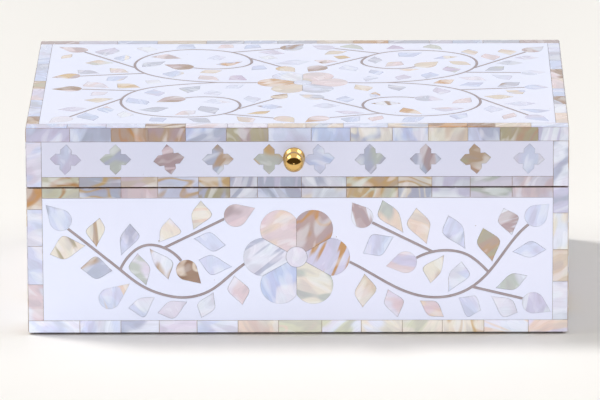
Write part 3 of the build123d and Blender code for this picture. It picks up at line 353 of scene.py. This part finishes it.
woodLook = {
    "heart": tint(92, 60, 40),
    "early": tint(120, 84, 58),
    "pore": tint(56, 36, 24),
    "grainStretch": (6, 90, 90),
    "figure": (1.0, 5.0, 0.6, 0.8),
    "earlySpan": (0.35, 0.66),
    "poreStretch": (4, 12, 12),
    "pores": {"noise": (1.0, 2.0), "span": (0.6, 0.7)},
    "poreShare": 0.6,
    "poreDepth": 0.6,
    "roughness": (0.5, 0.66),
    "relief": (0.2 * mm, 0.5),
}


def carcassWood(name, turn):
    # planed mango wood with its grain along the board
    wood = Paint(name, IOR=1.45)
    along = wood.scaled(wood.place(), woodLook["grainStretch"], (0, 0, turn))
    figure = wood.noise(along, *woodLook["figure"])
    pores = wood.pattern(wood.scaled(along, woodLook["poreStretch"]), **woodLook["pores"])
    colour = wood.blend(wood.between(figure, *woodLook["earlySpan"]), woodLook["heart"], woodLook["early"])
    wood.feed("Base Color", wood.blend(pores * woodLook["poreShare"], colour, woodLook["pore"]))
    wood.feed("Roughness", wood.swing(figure, *woodLook["roughness"]))
    wood.feed("Normal", wood.bump(figure - pores * woodLook["poreDepth"], *woodLook["relief"]))
    return wood.material


velvetLook = {
    "pile": tint(110, 32, 42),
    "crushed": tint(98, 26, 36),
    "raised": tint(130, 46, 56),
    "sheen": tint(214, 140, 150),
    "lean": (26.0, 3.0, 0.5, 0.8),
    "leanSpan": (0.35, 0.65),
    "leanHeight": 0.8,
    "threads": (1500.0, 2.0),
    "raisedSpan": (0.5, 0.8),
    "raisedShare": 0.4,
    "roughness": (0.78, 0.92),
    "relief": (0.3 * mm, 0.7),
}


def wineVelvet():
    # short cotton pile that leans one way and the other
    look = velvetLook
    cloth = Paint("wineVelvet", Sheen_Weight=0.45, Sheen_Roughness=0.4, Sheen_Tint=look["sheen"], IOR=1.4)
    place = cloth.place()
    lean = cloth.noise(place, *look["lean"])
    threads = cloth.noise(place, *look["threads"])
    raised = cloth.between(threads, *look["raisedSpan"]) * look["raisedShare"]
    colour = cloth.blend(cloth.between(lean, *look["leanSpan"]), look["crushed"], look["pile"])
    cloth.feed("Base Color", cloth.blend(raised, colour, look["raised"]))
    cloth.feed("Roughness", cloth.swing(lean, *look["roughness"]))
    cloth.feed("Normal", cloth.bump(threads + lean * look["leanHeight"], *look["relief"]))
    return cloth.material


feltLook = {
    "deep": tint(44, 38, 40),
    "loose": tint(74, 66, 68),
    "stretch": (500, 1400, 900),
    "turn": (0, 0, 0.4),
    "fibres": (1.0, 4.0, 0.7, 1.5),
    "looseSpan": (0.35, 0.7),
    "roughness": (0.85, 0.97),
    "relief": (0.3 * mm, 0.8),
}


def baizeFelt():
    # pressed wool felt, with loose fibres that catch the light
    cloth = Paint("baizeFelt", Sheen_Weight=0.4, IOR=1.4)
    combed = cloth.scaled(cloth.place(), feltLook["stretch"], feltLook["turn"])
    fibres = cloth.noise(combed, *feltLook["fibres"])
    loose = cloth.between(fibres, *feltLook["looseSpan"])
    cloth.feed("Base Color", cloth.blend(loose, feltLook["deep"], feltLook["loose"]))
    cloth.feed("Roughness", cloth.swing(fibres, *feltLook["roughness"]))
    cloth.feed("Normal", cloth.bump(fibres, *feltLook["relief"]))
    return cloth.material


metalLook = {
    "tarnish": {"noise": (90.0, 3.0), "span": (0.45, 0.75)},
    "brushStretch": (2500, 200, 2500),
    "brushTurn": (0.4, 0.2, 0.7),
    "marks": (1.0, 2.0),
    "unevenness": 0.12,
    "relief": 0.02 * mm,
    "reliefStrength": 0.25,
}
metals = {
    "hingeBrass": {
        "bright": tint(214, 178, 104), "dull": tint(150, 114, 58), "roughness": 0.2, "scratches": 0.8,
    },
    "polishedKnobBrass": {
        "bright": tint(226, 186, 116), "dull": tint(200, 154, 86), "roughness": 0.05, "scratches": 0.25,
    },
    "screwSteel": {
        "bright": tint(190, 190, 194), "dull": tint(130, 128, 130), "roughness": 0.28, "scratches": 0.8,
    },
}


def metal(name):
    # plated or turned metal: a little tarnish in patches, and fine polishing marks
    look, own = metalLook, metals[name]
    plate = Paint(name, Metallic=1.0)
    place = plate.place()
    tarnish = plate.pattern(place, **look["tarnish"])
    marks = plate.noise(plate.scaled(place, look["brushStretch"], look["brushTurn"]), *look["marks"])
    uneven = own["scratches"] * look["unevenness"]
    plate.feed("Base Color", plate.blend(tarnish * own["scratches"], own["bright"], own["dull"]))
    plate.feed("Roughness", own["roughness"] + tarnish * uneven + marks * uneven)
    plate.feed("Normal", plate.bump(marks, look["relief"], look["reliefStrength"] * own["scratches"]))
    return plate.material


finishes = {
    "resin": whiteResin("baseWhiteResin", resinLook["base"]),
    "lidShadedResin": whiteResin("lidWhiteResin", resinLook["lid"]),
    "shell": motherOfPearl(),
    "vine": vineResin(),
    "woodAcross": carcassWood("mangoWoodAcross", 0.0),
    "woodDeep": carcassWood("mangoWoodDeep", pi / 2),
    "velvet": wineVelvet(),
    "felt": baizeFelt(),
    "brass": metal("hingeBrass"),
    "gold": metal("polishedKnobBrass"),
    "steel": metal("screwSteel"),
}
print("finishes mixed:", len(finishes))


# Modelling helpers


def clearSelection():
    if bpy.context.object and bpy.context.object.mode != "OBJECT":
        bpy.ops.object.mode_set(mode="OBJECT")
    bpy.ops.object.select_all(action="DESELECT")


def makeActive(piece):
    clearSelection()
    piece.select_set(True)
    bpy.context.view_layer.objects.active = piece


def openForEdit(piece):
    makeActive(piece)
    bpy.context.tool_settings.mesh_select_mode = (False, False, True)
    bpy.ops.object.mode_set(mode="EDIT")


def pickFaces(piece, wanted):
    # leaves just the wanted faces selected, in edit mode
    bpy.ops.mesh.select_all(action="DESELECT")
    mesh = bmesh.from_edit_mesh(piece.data)
    for face in mesh.faces:
        if wanted(face):
            face.select_set(True)
    bmesh.update_edit_mesh(piece.data)


def smoothOver(piece, degrees):
    makeActive(piece)
    bpy.ops.object.shade_smooth_by_angle(angle=radians(degrees))
    piece.select_set(False)


def slab(name, low, high, craft):
    # a block from low to high with rounded edges, left open for edit
    clearSelection()
    bpy.ops.mesh.primitive_cube_add(size=1, location=(low + high) / 2, scale=high - low)
    piece = bpy.context.object
    piece.name = name
    bpy.ops.object.transform_apply(location=True, rotation=True, scale=True)
    openForEdit(piece)
    bpy.ops.mesh.select_all(action="SELECT")
    bpy.ops.mesh.bevel(offset=craft["edge"], segments=craft["edgeSteps"], affect="EDGES")
    return piece


def dress(piece, finish, slot, body, *nodes):
    # gives a finished piece its material and its place in the frame
    piece.data.materials.clear()
    piece.data.materials.append(finishes[finish])
    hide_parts(*nodes)
    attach(piece, body)


# Inlay: every shell piece and vine, taken over from the frame and given its glue line and its cut of shell


# for each side, the way to its right, the way up it and the way out of it
facings = {
    "front": (Vector((1, 0, 0)), Vector((0, 0, 1)), Vector((0, -1, 0))),
    "back": (Vector((-1, 0, 0)), Vector((0, 0, 1)), Vector((0, 1, 0))),
    "left": (Vector((0, -1, 0)), Vector((0, 0, 1)), Vector((-1, 0, 0))),
    "right": (Vector((0, 1, 0)), Vector((0, 0, 1)), Vector((1, 0, 0))),
    "top": (Vector((1, 0, 0)), Vector((0, 1, 0)), Vector((0, 0, 1))),
}
inlayCraft = {
    "weld": 0.002 * mm,
    "flat": radians(0.4),
    "facing": 0.35,
    "shell": {"rim": 0.24 * mm, "glue": 0.12},
    "flower": {"rim": 0.24 * mm, "glue": 0.0},
    "tiles": {"rim": 0.26 * mm, "glue": 0.75},
    "vines": {"rim": 0.3 * mm, "glue": 1.0},
    "slant": 0.3,
    "smooth": 30,
    "grainTurn": 0.7,
    "grainShift": 400,
}
# painted light and shade: how much brighter or darker the shell of a row or a group is painted beside its
# tints
paintedShading = {
    "quatrefoils": 0.84,
    "side": {"lower": 1.14, "upper": 0.9, "left": 0.98, "right": 0.98, "seam": 0.78},
    "top": {"lower": 1.0, "upper": 0.78, "left": 1.0, "right": 1.0},
}


def inlayFrom(node, name, side, craft):
    # a copy of the node's pieces, welded, with a narrow rim round every shown face
    piece = bpy.data.objects.new(name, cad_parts[node].data.copy())
    bpy.context.scene.collection.objects.link(piece)
    out = facings[side][2]
    openForEdit(piece)
    bpy.ops.mesh.select_all(action="SELECT")
    bpy.ops.mesh.customdata_custom_splitnormals_clear()
    bpy.ops.mesh.remove_doubles(threshold=inlayCraft["weld"])
    bpy.ops.mesh.dissolve_limited(angle_limit=inlayCraft["flat"])
    pickFaces(piece, lambda face: face.normal.dot(out) > inlayCraft["facing"])
    bpy.ops.mesh.inset(thickness=craft["rim"], use_boundary=True, use_even_offset=True)
    mesh = bmesh.from_edit_mesh(piece.data)
    rim = mesh.verts.layers.float.new("rim")
    for vertex in mesh.verts:
        vertex[rim] = 0.0 if vertex.select else craft["glue"]
    bmesh.update_edit_mesh(piece.data)
    bpy.ops.object.mode_set(mode="OBJECT")
    smoothOver(piece, inlayCraft["smooth"])
    return piece


def islandsOf(mesh):
    # the faces of each separate piece
    owner = list(range(len(mesh.vertices)))

    def rootOf(index):
        while owner[index] != index:
            owner[index] = owner[owner[index]]
            index = owner[index]
        return index

    for edge in mesh.edges:
        first, second = (rootOf(index) for index in edge.vertices)
        owner[first] = second
    islands = {}
    for face in mesh.polygons:
        islands.setdefault(rootOf(face.vertices[0]), []).append(face)
    return list(islands.values())


def middleOf(mesh, island, across, up):
    # the middle of an island's box, as its face is looked at
    places = [mesh.vertices[index].co for face in island for index in face.vertices]
    rights = [place.dot(across) for place in places]
    heights = [place.dot(up) for place in places]
    return ((min(rights) + max(rights)) / 2, (min(heights) + max(heights)) / 2)


def inReadingOrder(middles):
    slant = inlayCraft["slant"]
    return sorted(range(len(middles)), key=lambda i: middles[i][0] + slant * middles[i][1])


def inTileOrder(middles, fieldLow, fieldHigh, fullRows):
    # row by row: full rows, then the left and right columns, then the row along the seam
    rows = {"lower": [], "upper": [], "left": [], "right": [], "seam": []}
    for i, (right, height) in enumerate(middles):
        if height < fieldLow[1] and "lower" in fullRows:
            rows["lower"].append((right, i))
        elif height > fieldHigh[1] and "upper" in fullRows:
            rows["upper"].append((right, i))
        elif right < fieldLow[0]:
            rows["left"].append((height, i))
        elif right > fieldHigh[0]:
            rows["right"].append((height, i))
        else:
            rows["seam"].append((right, i))
    return {row: [i for place, i in sorted(found)] for row, found in rows.items()}


def tinted(name, shading):
    return (*(part * shading for part in tints[name][:3]), 1.0)


def cutShell(piece, side, cutOf):
    # writes each island's two tints, its figure and its own grain direction
    across, up = facings[side][:2]
    mesh = piece.data
    islands = islandsOf(mesh)
    middles = [middleOf(mesh, island, across, up) for island in islands]
    cuts = cutOf(middles)
    draw = Random(piece.name)
    mesh.uv_layers.new(name="pearl")
    for name in ("tintA", "tintB"):
        mesh.attributes.new(name, "FLOAT_COLOR", "CORNER")
    mesh.attributes.new("figure", "FLOAT_VECTOR", "CORNER")
    firstTint, secondTint, figure = (mesh.attributes[name].data for name in ("tintA", "tintB", "figure"))
    grain = mesh.uv_layers["pearl"].data
    for which in inReadingOrder(middles):
        turn = draw.uniform(-inlayCraft["grainTurn"], inlayCraft["grainTurn"]) + draw.choice((0, pi / 2))
        shiftRight = draw.uniform(0, inlayCraft["grainShift"])
        shiftUp = draw.uniform(0, inlayCraft["grainShift"])
        words, shading = cuts[which]
        mark = next((c for c in words if c in figures), None)
        # both tints brightened or darkened by the painted light and shade of the piece's row
        pair = [tinted(name, shading) for name in (words.split(mark) if mark else [words] * 2)]
        for face in islands[which]:
            for loop in face.loop_indices:
                firstTint[loop].color, secondTint[loop].color = pair
                figure[loop].vector = figures[mark] if mark else (0.0, 0.0, 0.0)
                place = mesh.vertices[mesh.loops[loop].vertex_index].co
                right = (place.dot(across) - middles[which][0]) / mm
                height = (place.dot(up) - middles[which][1]) / mm
                grain[loop].uv = (
                    right * cos(turn) - height * sin(turn) + shiftRight,
                    right * sin(turn) + height * cos(turn) + shiftUp,
                )


# the words of each piece: its one or two tints, in reading order for the leaves, row by row for the tiles
handCuts = {
    "base_front_leaves": """
        cream/olive ice+slate tan+slate ice/peach cream/tan ice+frost ice+slate sage+mist mist
        frost+tan cream+mist umber~sand frost ice ice cream/peach mist+rose rose+mauve cream+sand
        frost/mauve mist+rose ice rose+lilac peach+sage peach+rose cream+peach sand+cream ice+frost
        frost+ice slate+ice frost olive/tan sage+frost mauve/frost lilac/frost ice ice/lilac""",
    "base_front_flower": "frost/slate sky+frost rose+peach mist cream+sage mauve~amber lilac/amber",
    "lid_front_quatrefoils": """
        ice+lilac sage+slate mauve/rose slate+tan ochre+sage sky+ice sage+slate slate+mauve
        tan+olive mist+ice""",
    "lid_top_leaves": """
        mist lilac sky+slate umber+rose mauve+ochre rose+sky sand mist frost mist+rose peach slate
        rose+mauve sky sky sage+sand sky/cream slate sand+ochre rose+sand lilac+slate lilac+sky
        sky/cream mist+rose umber+mauve frost slate slate slate slate+sage sky+sand frost/slate
        mauve+rose mist+ice umber+mauve ice sand+rose rose sand ochre sky ice ice sand+rose sky+umber
        violet ice sky+amber umber+sand rose amber+rose sky sand+slate sky frost ice sand+ochre sky
        lilac lilac ice sky rose umber~slate umber+mauve rose+umber sand sky+amber frost/umber
        lilac+slate ice sky sand ochre ice peach+amber sky slate sage slate lilac+slate lilac rose+lilac
        sky sand+rose peach lilac rose sky violet amber+peach sky sand ice mauve+rose violet+sage sky
        mist sand+sky sage sand sand lilac+sky ice sky sand+sky slate+umber ice sand/sky slate+sage rose
        lilac+sky slate ice sand lilac slate+mauve""",
    "lid_top_flower": "amber+peach sand frost+ice ice slate+ice rose+sand rose",
}
handTiles = {
    "base_front_tiles": {
        "lower": """frost+ice ice+frost frost+slate mist ice+frost cream+peach opal~peach frost+opal
            cream+frost cream+opal cream~ochre frost/peach mist+peach""",
        "left": "rose+frost frost+ice ice+frost sand+amber",
        "right": "frost sand cream+frost lilac+slate",
        "seam": """opal~amber slate~ochre sand+rose ice~ochre olive~slate frost/slate slate/ice
            frost+cream ochre~opal slate~cream lilac+frost mist+sage mist+rose""",
    },
    "lid_front_tiles": {
        "upper": """lilac+ice slate+ice tan~amber tan+mauve slate+sky olive+mauve ice sky
            cream~slate sky+frost sand+cream slate+ice olive~tan frost/lilac""",
        "left": "ice+mist",
        "right": "slate+frost",
        "seam": """opal~amber slate~ochre rose+sand ice~ochre ochre~slate frost/slate slate/lilac
            frost+slate ochre~opal cream~ochre lilac+frost mist+sage mist+rose""",
    },
    "lid_top_tiles": {
        "lower": """lilac+sky lilac+sky ice umber+sand rose+mist mist sand sand+slate ice
            slate+sand amber+umber umber+amber sand ice""",
        "upper": """mauve lilac sky sand slate sky slate sand amber slate lilac sky slate mauve""",
        "left": "umber+tan sky+ice slate+sky rose+lilac tan+olive sky slate+sky sky ice",
        "right": "peach+sand frost umber~slate sky rose+sand umber+rose sky slate ice",
    },
}
commonCuts = """
    ice sky frost slate mist lilac sand cream rose peach sage ice+slate frost+ice slate+frost sand+ochre
    lilac+slate rose+lilac cream+sand frost/mauve cream/ochre frost/lilac slate+umber mauve+rose
    umber~amber umber+mauve sand+rose sky+amber olive~ochre peach+ochre opal~peach ice~ochre
    ice sky frost slate mist""".split()


def chosenWords(words, rank, draw):
    return words[rank % len(words)] if words else draw.choice(commonCuts)


def patternCuts(node):
    # the quatrefoils' shell is painted darker, as painted shade
    shading = paintedShading["quatrefoils"] if node.endswith("quatrefoils") else 1.0

    def cutOf(middles):
        words = handCuts.get(node, "").split()
        draw = Random("shell of " + node)
        cuts = {}
        for rank, which in enumerate(inReadingOrder(middles)):
            cuts[which] = (chosenWords(words, rank, draw), shading)
        return cuts
    return cutOf


def tileCuts(node, side, fullRows):
    across, up = facings[side][:2]
    # each row's painted light and shade
    rowShading = paintedShading["top" if side == "top" else "side"]
    low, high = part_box(node.replace("tiles", "resin"))
    rights = sorted((low.dot(across), high.dot(across)))
    heights = sorted((low.dot(up), high.dot(up)))

    def cutOf(middles):
        rows = inTileOrder(middles, (rights[0], heights[0]), (rights[1], heights[1]), fullRows)
        draw = Random("tiles of " + node)
        cuts = {}
        for row, members in rows.items():
            words = handTiles.get(node, {}).get(row, "").split()
            for rank, which in enumerate(members):
                cuts[which] = (chosenWords(words, rank, draw), rowShading[row])
        return cuts
    return cutOf


def layInlay():
    count = 0
    for body, side in [(body, side) for body in ("base", "lid") for side in facings]:
        for group in ("leaves", "flower", "quatrefoils", "tiles", "vines"):
            node = f"{body}_{side}_{group}"
            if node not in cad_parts:
                continue
            craft = inlayCraft.get(group, inlayCraft["shell"])
            piece = inlayFrom(node, f"{side}_{body}_{group}_inlay", side, craft)
            if group == "vines":
                dress(piece, "vine", "vine_resin", body, node)
            else:
                ownRow = {"base": "lower", "lid": "upper"}[body]
                fullRows = ("lower", "upper") if side == "top" else (ownRow,)
                cutOf = tileCuts(node, side, fullRows) if group == "tiles" else patternCuts(node)
                cutShell(piece, side, cutOf)
                dress(piece, "shell", "shell", body, node)
            count += 1
    print("inlay laid:", count, "groups")


layInlay()


# Knob: turned brass, a domed foot, a neck and a ball


knobSizes = {
    "around": 96,
    "footEdge": 0.5 * mm,
    "footEase": 0.12 * mm,
    "dome": 2.8 * mm,
    "domeRings": 9,
    "domeEase": 1.7,
    "neck": 0.4 * mm,
    "neckRadius": 3.6 * mm,
    "ballRings": 26,
    "smooth": 40,
}


def turnKnob():
    sizes = knobSizes
    low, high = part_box("knob")
    footRadius = (high.x - low.x) / 2
    centre = Vector(((low.x + high.x) / 2, high.y, (low.z + high.z) / 2))
    reach = high.y - low.y
    domeTop = sizes["footEdge"] + sizes["dome"]
    neckEnd = domeTop + sizes["neck"]
    neckRadius = sizes["neckRadius"]
    ballRadius = ((reach - neckEnd) ** 2 + neckRadius**2) / (2 * (reach - neckEnd))
    ballCentre = reach - ballRadius
    rings = [(footRadius, sizes["footEdge"] - sizes["footEase"])]
    for i in range(1, sizes["domeRings"]):
        turn = pi / 2 * i / sizes["domeRings"]
        width = (footRadius - neckRadius) * cos(turn) ** sizes["domeEase"]
        rise = sizes["dome"] * sin(turn) ** sizes["domeEase"]
        rings.append((neckRadius + width, sizes["footEdge"] + rise))
    rings += [(neckRadius, domeTop), (neckRadius, (domeTop + neckEnd) / 2)]
    start = Vector((neckRadius, neckEnd - ballCentre)).angle_signed(Vector((0, 1)))
    for i in range(sizes["ballRings"]):
        turn = start * (1 - i / sizes["ballRings"])
        rings.append((ballRadius * abs(sin(turn)), ballCentre + ballRadius * cos(turn)))
    clearSelection()
    bpy.ops.mesh.primitive_circle_add(
        vertices=sizes["around"],
        radius=footRadius,
        fill_type="NGON",
        location=centre,
        rotation=(pi / 2, 0, 0),
    )
    knob = bpy.context.object
    knob.name = "turned_knob"
    openForEdit(knob)
    bpy.context.tool_settings.mesh_select_mode = (True, False, False)
    bpy.ops.mesh.select_all(action="SELECT")
    radius, height = footRadius, 0.0
    for ringRadius, ringHeight in rings:
        bpy.ops.mesh.extrude_region_move(TRANSFORM_OT_translate={"value": (0, height - ringHeight, 0)})
        share = ringRadius / radius
        middle = (centre.x, centre.y - ringHeight, centre.z)
        bpy.ops.transform.resize(value=(share, 1, share), center_override=middle)
        radius, height = ringRadius, ringHeight
    bpy.ops.mesh.extrude_region_move(TRANSFORM_OT_translate={"value": (0, height - reach, 0)})
    bpy.ops.mesh.merge(type="CENTER")
    bpy.ops.mesh.select_all(action="SELECT")
    bpy.ops.mesh.normals_make_consistent(inside=False)
    bpy.ops.object.mode_set(mode="OBJECT")
    bpy.ops.object.transform_apply(location=True, rotation=True, scale=True)
    smoothOver(knob, sizes["smooth"])
    dress(knob, "gold", "brass", "lid", "knob")
    print("knob turned:", len(knob.data.polygons), "faces")


turnKnob()


# Lining: velvet drawn over thin padded card, one panel for each inner face


liningCraft = {
    "edge": 0.6 * mm,
    "edgeSteps": 3,
    "cuts": 12,
    "crown": 0.25 * mm,
    "crownPower": 4,
    "ripple": 0.3,
    "rippleTurns": (9, 7),
    "gap": 0.12 * mm,
    "smooth": 50,
}


def velvetPanel(name, low, high, body, node):
    # a card panel with rounded edges, a little fuller in its middle, and a soft unevenness
    craft = liningCraft
    gap = Vector((craft["gap"],) * 3)
    low = low + gap
    high = high - gap
    size = high - low
    middle = (low + high) / 2
    thin = min(range(3), key=lambda i: size[i])
    wide = max(range(3), key=lambda i: size[i])
    other = 3 - thin - wide
    panel = slab(name, low, high, craft)
    for axis in (wide, other):
        normal = Vector([float(i == axis) for i in range(3)])
        for i in range(1, craft["cuts"]):
            bpy.ops.mesh.select_all(action="SELECT")
            place = low.copy()
            place[axis] = low[axis] + size[axis] * i / craft["cuts"]
            bpy.ops.mesh.bisect(plane_co=place, plane_no=normal)
    bpy.ops.object.mode_set(mode="OBJECT")
    draw = Random(name)
    phases = [draw.uniform(0, 2 * pi) for i in range(2)]
    wideTurns, otherTurns = craft["rippleTurns"]
    for vertex in panel.data.vertices:
        shares = [(vertex.co[i] - middle[i]) / (size[i] / 2) for i in range(3)]
        flat = [1 - abs(shares[i]) ** craft["crownPower"] for i in range(3) if i != thin]
        waves = sin(wideTurns * shares[wide] + phases[0]) * sin(otherTurns * shares[other] + phases[1])
        fullness = 1 - craft["ripple"] + craft["ripple"] * (0.5 + 0.5 * waves)
        vertex.co[thin] -= craft["crown"] * (1 - flat[0] * flat[1] * fullness) * shares[thin]
    smoothOver(panel, craft["smooth"])
    dress(panel, "velvet", "lining_velvet", body, node)


def wallsRound(low, high, thick):
    # front and back panels over the full width, and left and right ones between them
    return [
        (low, Vector((high.x, low.y + thick, high.z))),
        (Vector((low.x, high.y - thick, low.z)), high),
        (Vector((low.x, low.y + thick, low.z)), Vector((low.x + thick, high.y - thick, high.z))),
        (Vector((high.x - thick, low.y + thick, low.z)), Vector((high.x, high.y - thick, high.z))),
    ]


def lineBox():
    floorLow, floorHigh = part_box("base_floor_lining")
    thick = floorHigh.z - floorLow.z
    lidLow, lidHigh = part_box("lid_lining")
    ceilingLow = Vector((lidLow.x, lidLow.y, lidHigh.z - thick))
    lidWallsHigh = Vector((lidHigh.x, lidHigh.y, ceilingLow.z))
    panels = [
        ("base", "base_floor_lining", (floorLow, floorHigh)),
        ("lid", "lid_lining", (ceilingLow, lidHigh)),
    ]
    panels += [("base", "base_wall_lining", box) for box in wallsRound(*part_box("base_wall_lining"), thick)]
    panels += [("lid", "lid_lining", box) for box in wallsRound(lidLow, lidWallsHigh, thick)]
    for i, (body, node, (low, high)) in enumerate(panels):
        velvetPanel(f"velvet_panel_{i + 1}", low, high, body, node)
    print("lining laid:", len(panels), "panels")


lineBox()


# Felt under the base, a sheet cut to size


feltCraft = {
    "edge": 0.3 * mm,
    "edgeSteps": 2,
    "smooth": 50,
}


def layFelt():
    low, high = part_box("base_felt")
    felt = slab("felt_sheet", low, high, feltCraft)
    bpy.ops.object.mode_set(mode="OBJECT")
    smoothOver(felt, feltCraft["smooth"])
    dress(felt, "felt", "base_felt", "base", "base_felt")
    print("felt laid")


layFelt()


# Finishes of the nodes that are shown as they are


finishOfEnding = {
    "resin": "resin",
    "board": "woodAcross",
    "leaf": "brass",
    "pins": "brass",
    "knob_screw": "steel",
    "screws": "brass",
}


def finishNodes():
    for name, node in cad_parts.items():
        if node.hide_render:
            continue
        finish = next(finish for ending, finish in finishOfEnding.items() if name.endswith(ending))
        if name.endswith(("left_board", "right_board")):
            finish = "woodDeep"
        # the lid's walls, not its top, take the darker copy of the resin, which is painted shade
        if finish == "resin" and name.startswith("lid") and "top" not in name:
            finish = "lidShadedResin"
        node.data.materials.clear()
        node.data.materials.append(finishes[finish])
    print("frame nodes finished")


finishNodes()


# Studio: a pale floor and world, two suns, two soft boxes, a small lamp for the knob, and a camera where
# the photograph's stood


studio = {
    "backdrop": tint(249, 246, 241),
    "darkRoom": tint(78, 66, 44),
    "darkSlopes": ((-0.02, 0.0), (2.2, 1.5)),
    "darkFloor": (-0.36, -0.5),
    "floorSize": 14.0,
    "lampWhite": (1, 1, 1, 1),
    "worldLight": 0.3,
    "sideBoxes": {"wide": 1.45, "tall": 1.3, "spot": (0.663, 0.0, 0.749), "distance": 2.5, "power": 15.0},
    "viewLamp": {"wide": 0.1, "tall": 0.08, "spot": (0.0, -1.0, 0.08), "distance": 0.6, "power": 0.05},
    "leftSun": {"strength": 1.3, "angle": 12.0, "turn": -66.0, "height": 60.0},
    "frontFill": {"strength": 1.28, "angle": 10.0, "turn": 180.0, "height": 5.0},
}


def setStudioFloor():
    # pale paper, darker in front of the camera's view as reflections see it
    clearSelection()
    bpy.ops.mesh.primitive_plane_add(size=studio["floorSize"], location=(0, 0, floorHeight))
    floor = bpy.context.object
    floor.name = "studio_floor"
    paint = Paint("paleStudioPaper", Roughness=0.9, Specular_IOR_Level=0.1)
    back = paint.split(paint.place())[1]
    glossy = paint.node("ShaderNodeLightPath", output="Is Glossy Ray")
    dark = glossy * paint.between(back, *studio["darkFloor"])
    paint.feed("Base Color", paint.blend(dark, studio["backdrop"], studio["darkRoom"]))
    floor.data.materials.append(paint.material)


def sunFrom(name, strength, angle, turn, height):
    # a sun whose light comes from a compass turn, 0 at the back, and a height above the floor
    light = bpy.data.lights.new(name, "SUN")
    light.energy = strength
    light.angle = radians(angle)
    lamp = bpy.data.objects.new(name, light)
    bpy.context.scene.collection.objects.link(lamp)
    flat = cos(radians(height))
    source = Vector((sin(radians(turn)) * flat, cos(radians(turn)) * flat, sin(radians(height))))
    lamp.rotation_euler = source.to_track_quat("Z", "Y").to_euler()
    lamp.visible_glossy = False  # lights the box without a hot spot on the knob


def softBox(name, way, wide, tall, spot, distance, power):
    light = bpy.data.lights.new(name, "AREA")
    light.energy = power
    light.shape = "RECTANGLE"
    light.size = wide
    light.size_y = tall
    lamp = bpy.data.objects.new(name, light)
    bpy.context.scene.collection.objects.link(lamp)
    source = Vector((way * spot[0], spot[1], spot[2]))
    lamp.location = source * distance
    lamp.rotation_euler = source.to_track_quat("Z", "Y").to_euler()
    return lamp


def setWorld():
    # a pale room with a weak light of its own, and a dark stretch in front that only reflections show
    world = bpy.data.worlds.new("paleStudio")
    bpy.context.scene.world = world
    world.use_nodes = True
    world.node_tree.nodes.clear()
    room = Recipe(world.node_tree)
    values = {"Color": studio["lampWhite"], "Strength": studio["worldLight"]}
    light = room.node("ShaderNodeBackground", values=values)
    glossy = room.node("ShaderNodeLightPath", output="Is Glossy Ray")
    direct = room.node("ShaderNodeLightPath", output="Is Camera Ray")
    back, up = room.split(room.place("Generated"))[1:]
    slope = up / (back * -1.0)
    dark = glossy
    for low, high in studio["darkSlopes"]:
        dark = dark * room.between(slope, low, high)
    colour = room.blend(dark, studio["backdrop"], studio["darkRoom"])
    seen = room.node("ShaderNodeBackground", values={"Color": colour})
    mix = room.node("ShaderNodeMixShader", values={0: direct.larger(glossy), 1: light, 2: seen})
    room.node("ShaderNodeOutputWorld", values={0: mix}, output=None)


photoView = {
    "reach": 100.0,
    "lens": 423.19,
    "sensor": 36.0,
    "distance": 3.96298,
    "target": (0.001451, -0.1015, 0.078725),
    "yaw": 0.5549,
    "pitch": 15.217,
    "roll": -0.2779,
}


def setCamera():
    camera = bpy.data.objects.new("photoCamera", bpy.data.cameras.new("photoCamera"))
    bpy.context.scene.collection.objects.link(camera)
    bpy.context.scene.camera = camera
    camera.data.lens = photoView["lens"]
    camera.data.sensor_width = photoView["sensor"]
    camera.data.clip_end = photoView["reach"]
    aim = Euler((radians(90 - photoView["pitch"]), 0, radians(photoView["yaw"]))).to_matrix()
    aim = aim @ Matrix.Rotation(radians(photoView["roll"]), 3, "Z")
    forward = aim @ Vector((0, 0, -1))
    camera.location = Vector(photoView["target"]) - forward * photoView["distance"]
    camera.rotation_euler = aim.to_euler()


setStudioFloor()
setWorld()
sunFrom("leftSun", **studio["leftSun"])
sunFrom("frontFill", **studio["frontFill"])
softBox("leftSoftBox", -1, **studio["sideBoxes"])
softBox("rightSoftBox", 1, **studio["sideBoxes"])
softBox("viewLamp", 1, **studio["viewLamp"]).visible_diffuse = False  # only a glint on the knob
setCamera()
bpy.context.scene.view_settings.view_transform = "Standard"
print("studio set")
